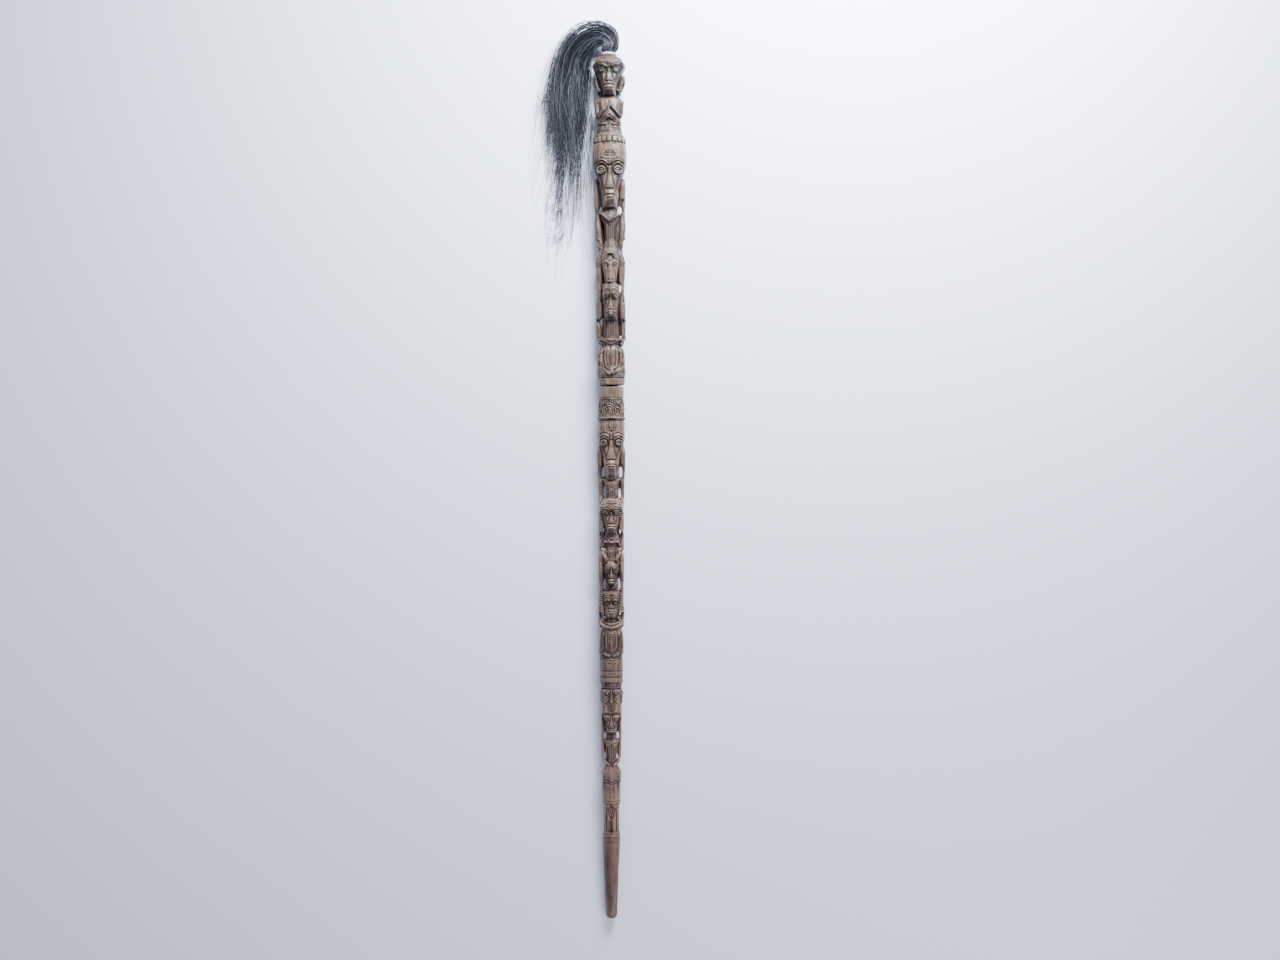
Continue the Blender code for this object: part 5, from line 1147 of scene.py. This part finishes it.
def curlingPaths(count, seed):
    # Hairs that leave the plume on its outer side, make about one round and hang on
    rng = np.random.default_rng(seed)
    line = np.linspace(0.0, 1.0, plume["steps"])[None, :]
    start = rng.uniform(7.0, 13.5, (count, 1)) / lastRow
    paths = plumePoint(start + 0.0 * line, 0.9 + 0.0 * line, rng.uniform(0.0, 0.8, (count, 1)) + 0.0 * line)
    turn = fullTurn * rng.uniform(0.75, 1.35, (count, 1)) * line
    size = rng.uniform(*plume["curlSize"], (count, 1))
    paths[..., 0] += size * (np.cos(turn) - 1.0) - rng.uniform(2.0, 14.0, (count, 1)) * line
    paths[..., 1] -= size * np.sin(turn) + rng.uniform(10.0, 46.0, (count, 1)) * line
    paths[..., 2] *= 1.0 - 0.5 * line
    # Nothing folds them back at the box's upper side
    paths = keptInside(paths, (-6.0, -6.0, 0.4), (99.0, 99.0, 99.0))
    radii = rng.uniform(*plume["curlRadius"], (count, 1)) * (1.0 - 0.4 * line)
    # Painted sheen: each curl is coloured a little bluish grey at random
    return paths, radii, 0.3 * rng.uniform(0.0, 1.0, (count, 1)) + 0.0 * line


def hairCore():
    # The dark inside of the bundle: ovals at two thirds of its section that shrink towards their
    # end, closed at both ends
    around, along = 20, 46
    places = np.linspace(0.0, 0.58, along)[:, None] + np.zeros((1, around))
    turn = np.linspace(0.0, fullTurn, around, endpoint=False)[None, :]
    size = plume["coreSize"] * np.clip((0.59 - places) / 0.30, 0.02, 1.0) ** 0.6
    points = plumePoint(places, np.cos(turn) * size, np.sin(turn) * size)
    points[..., 2] = np.maximum(points[..., 2], 0.3)
    faces = []
    for i in range(along - 1):
        for k in range(around):
            n = (k + 1) % around
            faces.append((i * around + k, i * around + n, (i + 1) * around + n, (i + 1) * around + k))
    faces.append(tuple(range(around))[::-1])
    faces.append(tuple(range((along - 1) * around, along * around)))
    mesh = newMesh("hair_core", (points.reshape(-1, 3) * 0.001).tolist(), faces)
    storeMark(mesh, "paintedSheen", np.zeros(around * along))
    return mesh


def joinedMesh(name, meshes):
    # The meshes' points, faces and painted sheen put one after the other
    points, faces, values = [], [], []
    for mesh in meshes:
        start = sum(len(p) for p in points)
        points.append(meshPoints(mesh))
        faces += [tuple(v + start for v in polygon.vertices) for polygon in mesh.polygons]
        values.append(storedMark(mesh, "paintedSheen"))
    made = newMesh(name, np.concatenate(points).tolist(), faces)
    storeMark(made, "paintedSheen", np.concatenate(values))
    return made


def hairMaterial():
    look, tree, shader = plainLook("black_hair", hairColours["roughness"])
    paintedSheen = addNode(tree, "ShaderNodeAttribute", settings={"attribute_name": "paintedSheen"}).outputs["Fac"]
    # Painted sheen: the mix from the dark hair towards a lit bluish grey
    colour = mixColour(tree, paintedSheen, hairColours["dark"], hairColours["light"])
    tree.links.new(colour, shader.inputs["Base Color"])
    shader.inputs["Specular IOR Level"].default_value = hairColours["specular"]
    return look


hairLook = hairMaterial()
strands = tubesMesh("hair_strands", *strandPaths(plume["strands"], plume["seed"], False))
addPiece("hair_bundle", joinedMesh("hair_bundle", [strands, hairCore()]), hairLook, ["hair_tuft"])
loose = strandPaths(plume["looseStrands"], plume["seed"] + 1, True)
flying = flyingPaths(plume["flyStrands"], plume["seed"] + 2)
curling = curlingPaths(plume["curls"], plume["seed"] + 3)
looseHair = tubesMesh("hair_loose", *(np.concatenate(parts) for parts in zip(loose, flying, curling)))
addPiece("hair_loose", looseHair, hairLook, [])
print("hair made")

binding = {
    "outer": 16.0,
    "thick": 4.2,
    "high": 6.0,
    "lift": 1.5,
    "plies": 26,
    "twist": 2.0,
    "relief": 0.34,
    "dark": (0.13, 0.12, 0.12, 1.0),
    "light": (0.36, 0.35, 0.35, 1.0),
    "roughness": 0.85,
}


def bindingMesh():
    # A ring with an oval section. Between the plies its skin sinks by up to the relief, along
    # lines that twist round the section.
    around, section = 260, 20
    turn = np.linspace(0.0, fullTurn, around, endpoint=False)[:, None]
    angle = np.linspace(0.0, fullTurn, section, endpoint=False)[None, :]
    twist = binding["plies"] * turn + binding["twist"] * angle
    swell = binding["relief"] * (np.abs(np.cos(0.5 * twist)) - 1.0)
    half = 0.5 * binding["thick"] + swell
    tall = 0.5 * binding["high"] + swell
    radius = binding["outer"] - 0.5 * binding["thick"] + half * np.cos(angle)
    middle = staff["crownStation"] + binding["lift"] + 0.5 * binding["high"]
    station = middle + tall * np.sin(angle) + 0.0 * turn
    x = radius * np.cos(turn) + centreLine(station)
    z = radius * np.sin(turn) + float(axisHeight(staff["crownStation"]))
    points = np.stack([x, station - staff["originStation"], z], axis=-1).reshape(-1, 3) * 0.001
    n = np.arange(around)[:, None]
    k = np.arange(section)[None, :]
    nextN = (n + 1) % around
    nextK = (k + 1) % section
    corners = [n * section + k, n * section + nextK, nextN * section + nextK, nextN * section + k]
    faces = np.stack([np.broadcast_to(c, (around, section)) for c in corners], axis=-1).reshape(-1, 4)
    return newMesh("binding_ring", points.tolist(), faces.tolist())


def cordMaterial():
    look, tree, shader = plainLook("pale_cord", binding["roughness"])
    masks = addNode(tree, "ShaderNodeGroup", {"Pore Scale": 900.0}, {"node_tree": grain})
    colour = mixColour(tree, masks.outputs[2], binding["dark"], binding["light"])
    tree.links.new(colour, shader.inputs["Base Color"])
    return look


addPiece("binding_ring", bindingMesh(), cordMaterial(), ["tuft_binding"])

# Each lamp has its place, what it aims at, its size, its power and its colour
stage = {
    "floor": (0.70, 0.745, 0.93, 1.0),
    "halfFloor": 4.0,
    "camera": (0.0593, -0.1585, 3.351),
    "lens": 45.0,
    "sky": (0.92, 0.95, 1.0, 1.0),
    "skyStrength": 0.42,
    "lamps": {
        "key": ((0.52, 1.42, 0.92), (0.42, 1.0, 0.0), (1.0, 0.9), 195.0, (0.96, 0.98, 1.0)),
        "fill": ((-1.4, -0.2, 2.2), (0.0, -0.1, 0.0), (1.8, 2.4), 18.0, (0.90, 0.95, 1.0)),
        "low": ((1.3, -2.0, 1.4), (0.2, -1.2, 0.0), (1.4, 1.0), 26.0, (0.97, 0.985, 1.0)),
    },
}


def areaLight(name, place, aim, size, power, colour):
    light = bpy.data.lights.new(name, "AREA")
    light.shape = "RECTANGLE"
    light.size, light.size_y = size
    light.energy = power
    light.color = colour
    lamp = placed(name, light)
    lamp.location = place
    lamp.rotation_euler = (Vector(aim) - Vector(place)).to_track_quat("-Z", "Y").to_euler()


far = stage["halfFloor"]
corners = [(-far, -far, 0), (far, -far, 0), (far, far, 0), (-far, far, 0)]
floorMesh = newMesh("floor", corners, [(0, 1, 2, 3)])
floor = placed("floor", floorMesh)
floorLook, _, floorShader = plainLook("floor", 0.9)
floorShader.inputs["Base Color"].default_value = stage["floor"]
floorMesh.materials.append(floorLook)
for name, values in stage["lamps"].items():
    areaLight(name, *values)
world = bpy.data.worlds.new("room")
scene.world = world
world.use_nodes = True
sky = world.node_tree.nodes["Background"]
sky.inputs["Color"].default_value = stage["sky"]
sky.inputs["Strength"].default_value = stage["skyStrength"]

cameraData = bpy.data.cameras.new("camera")
cameraData.lens = stage["lens"]
cameraData.sensor_width = 36.0
cameraData.clip_end = 20.0
camera = placed("camera", cameraData)
camera.location = stage["camera"]
scene.camera = camera
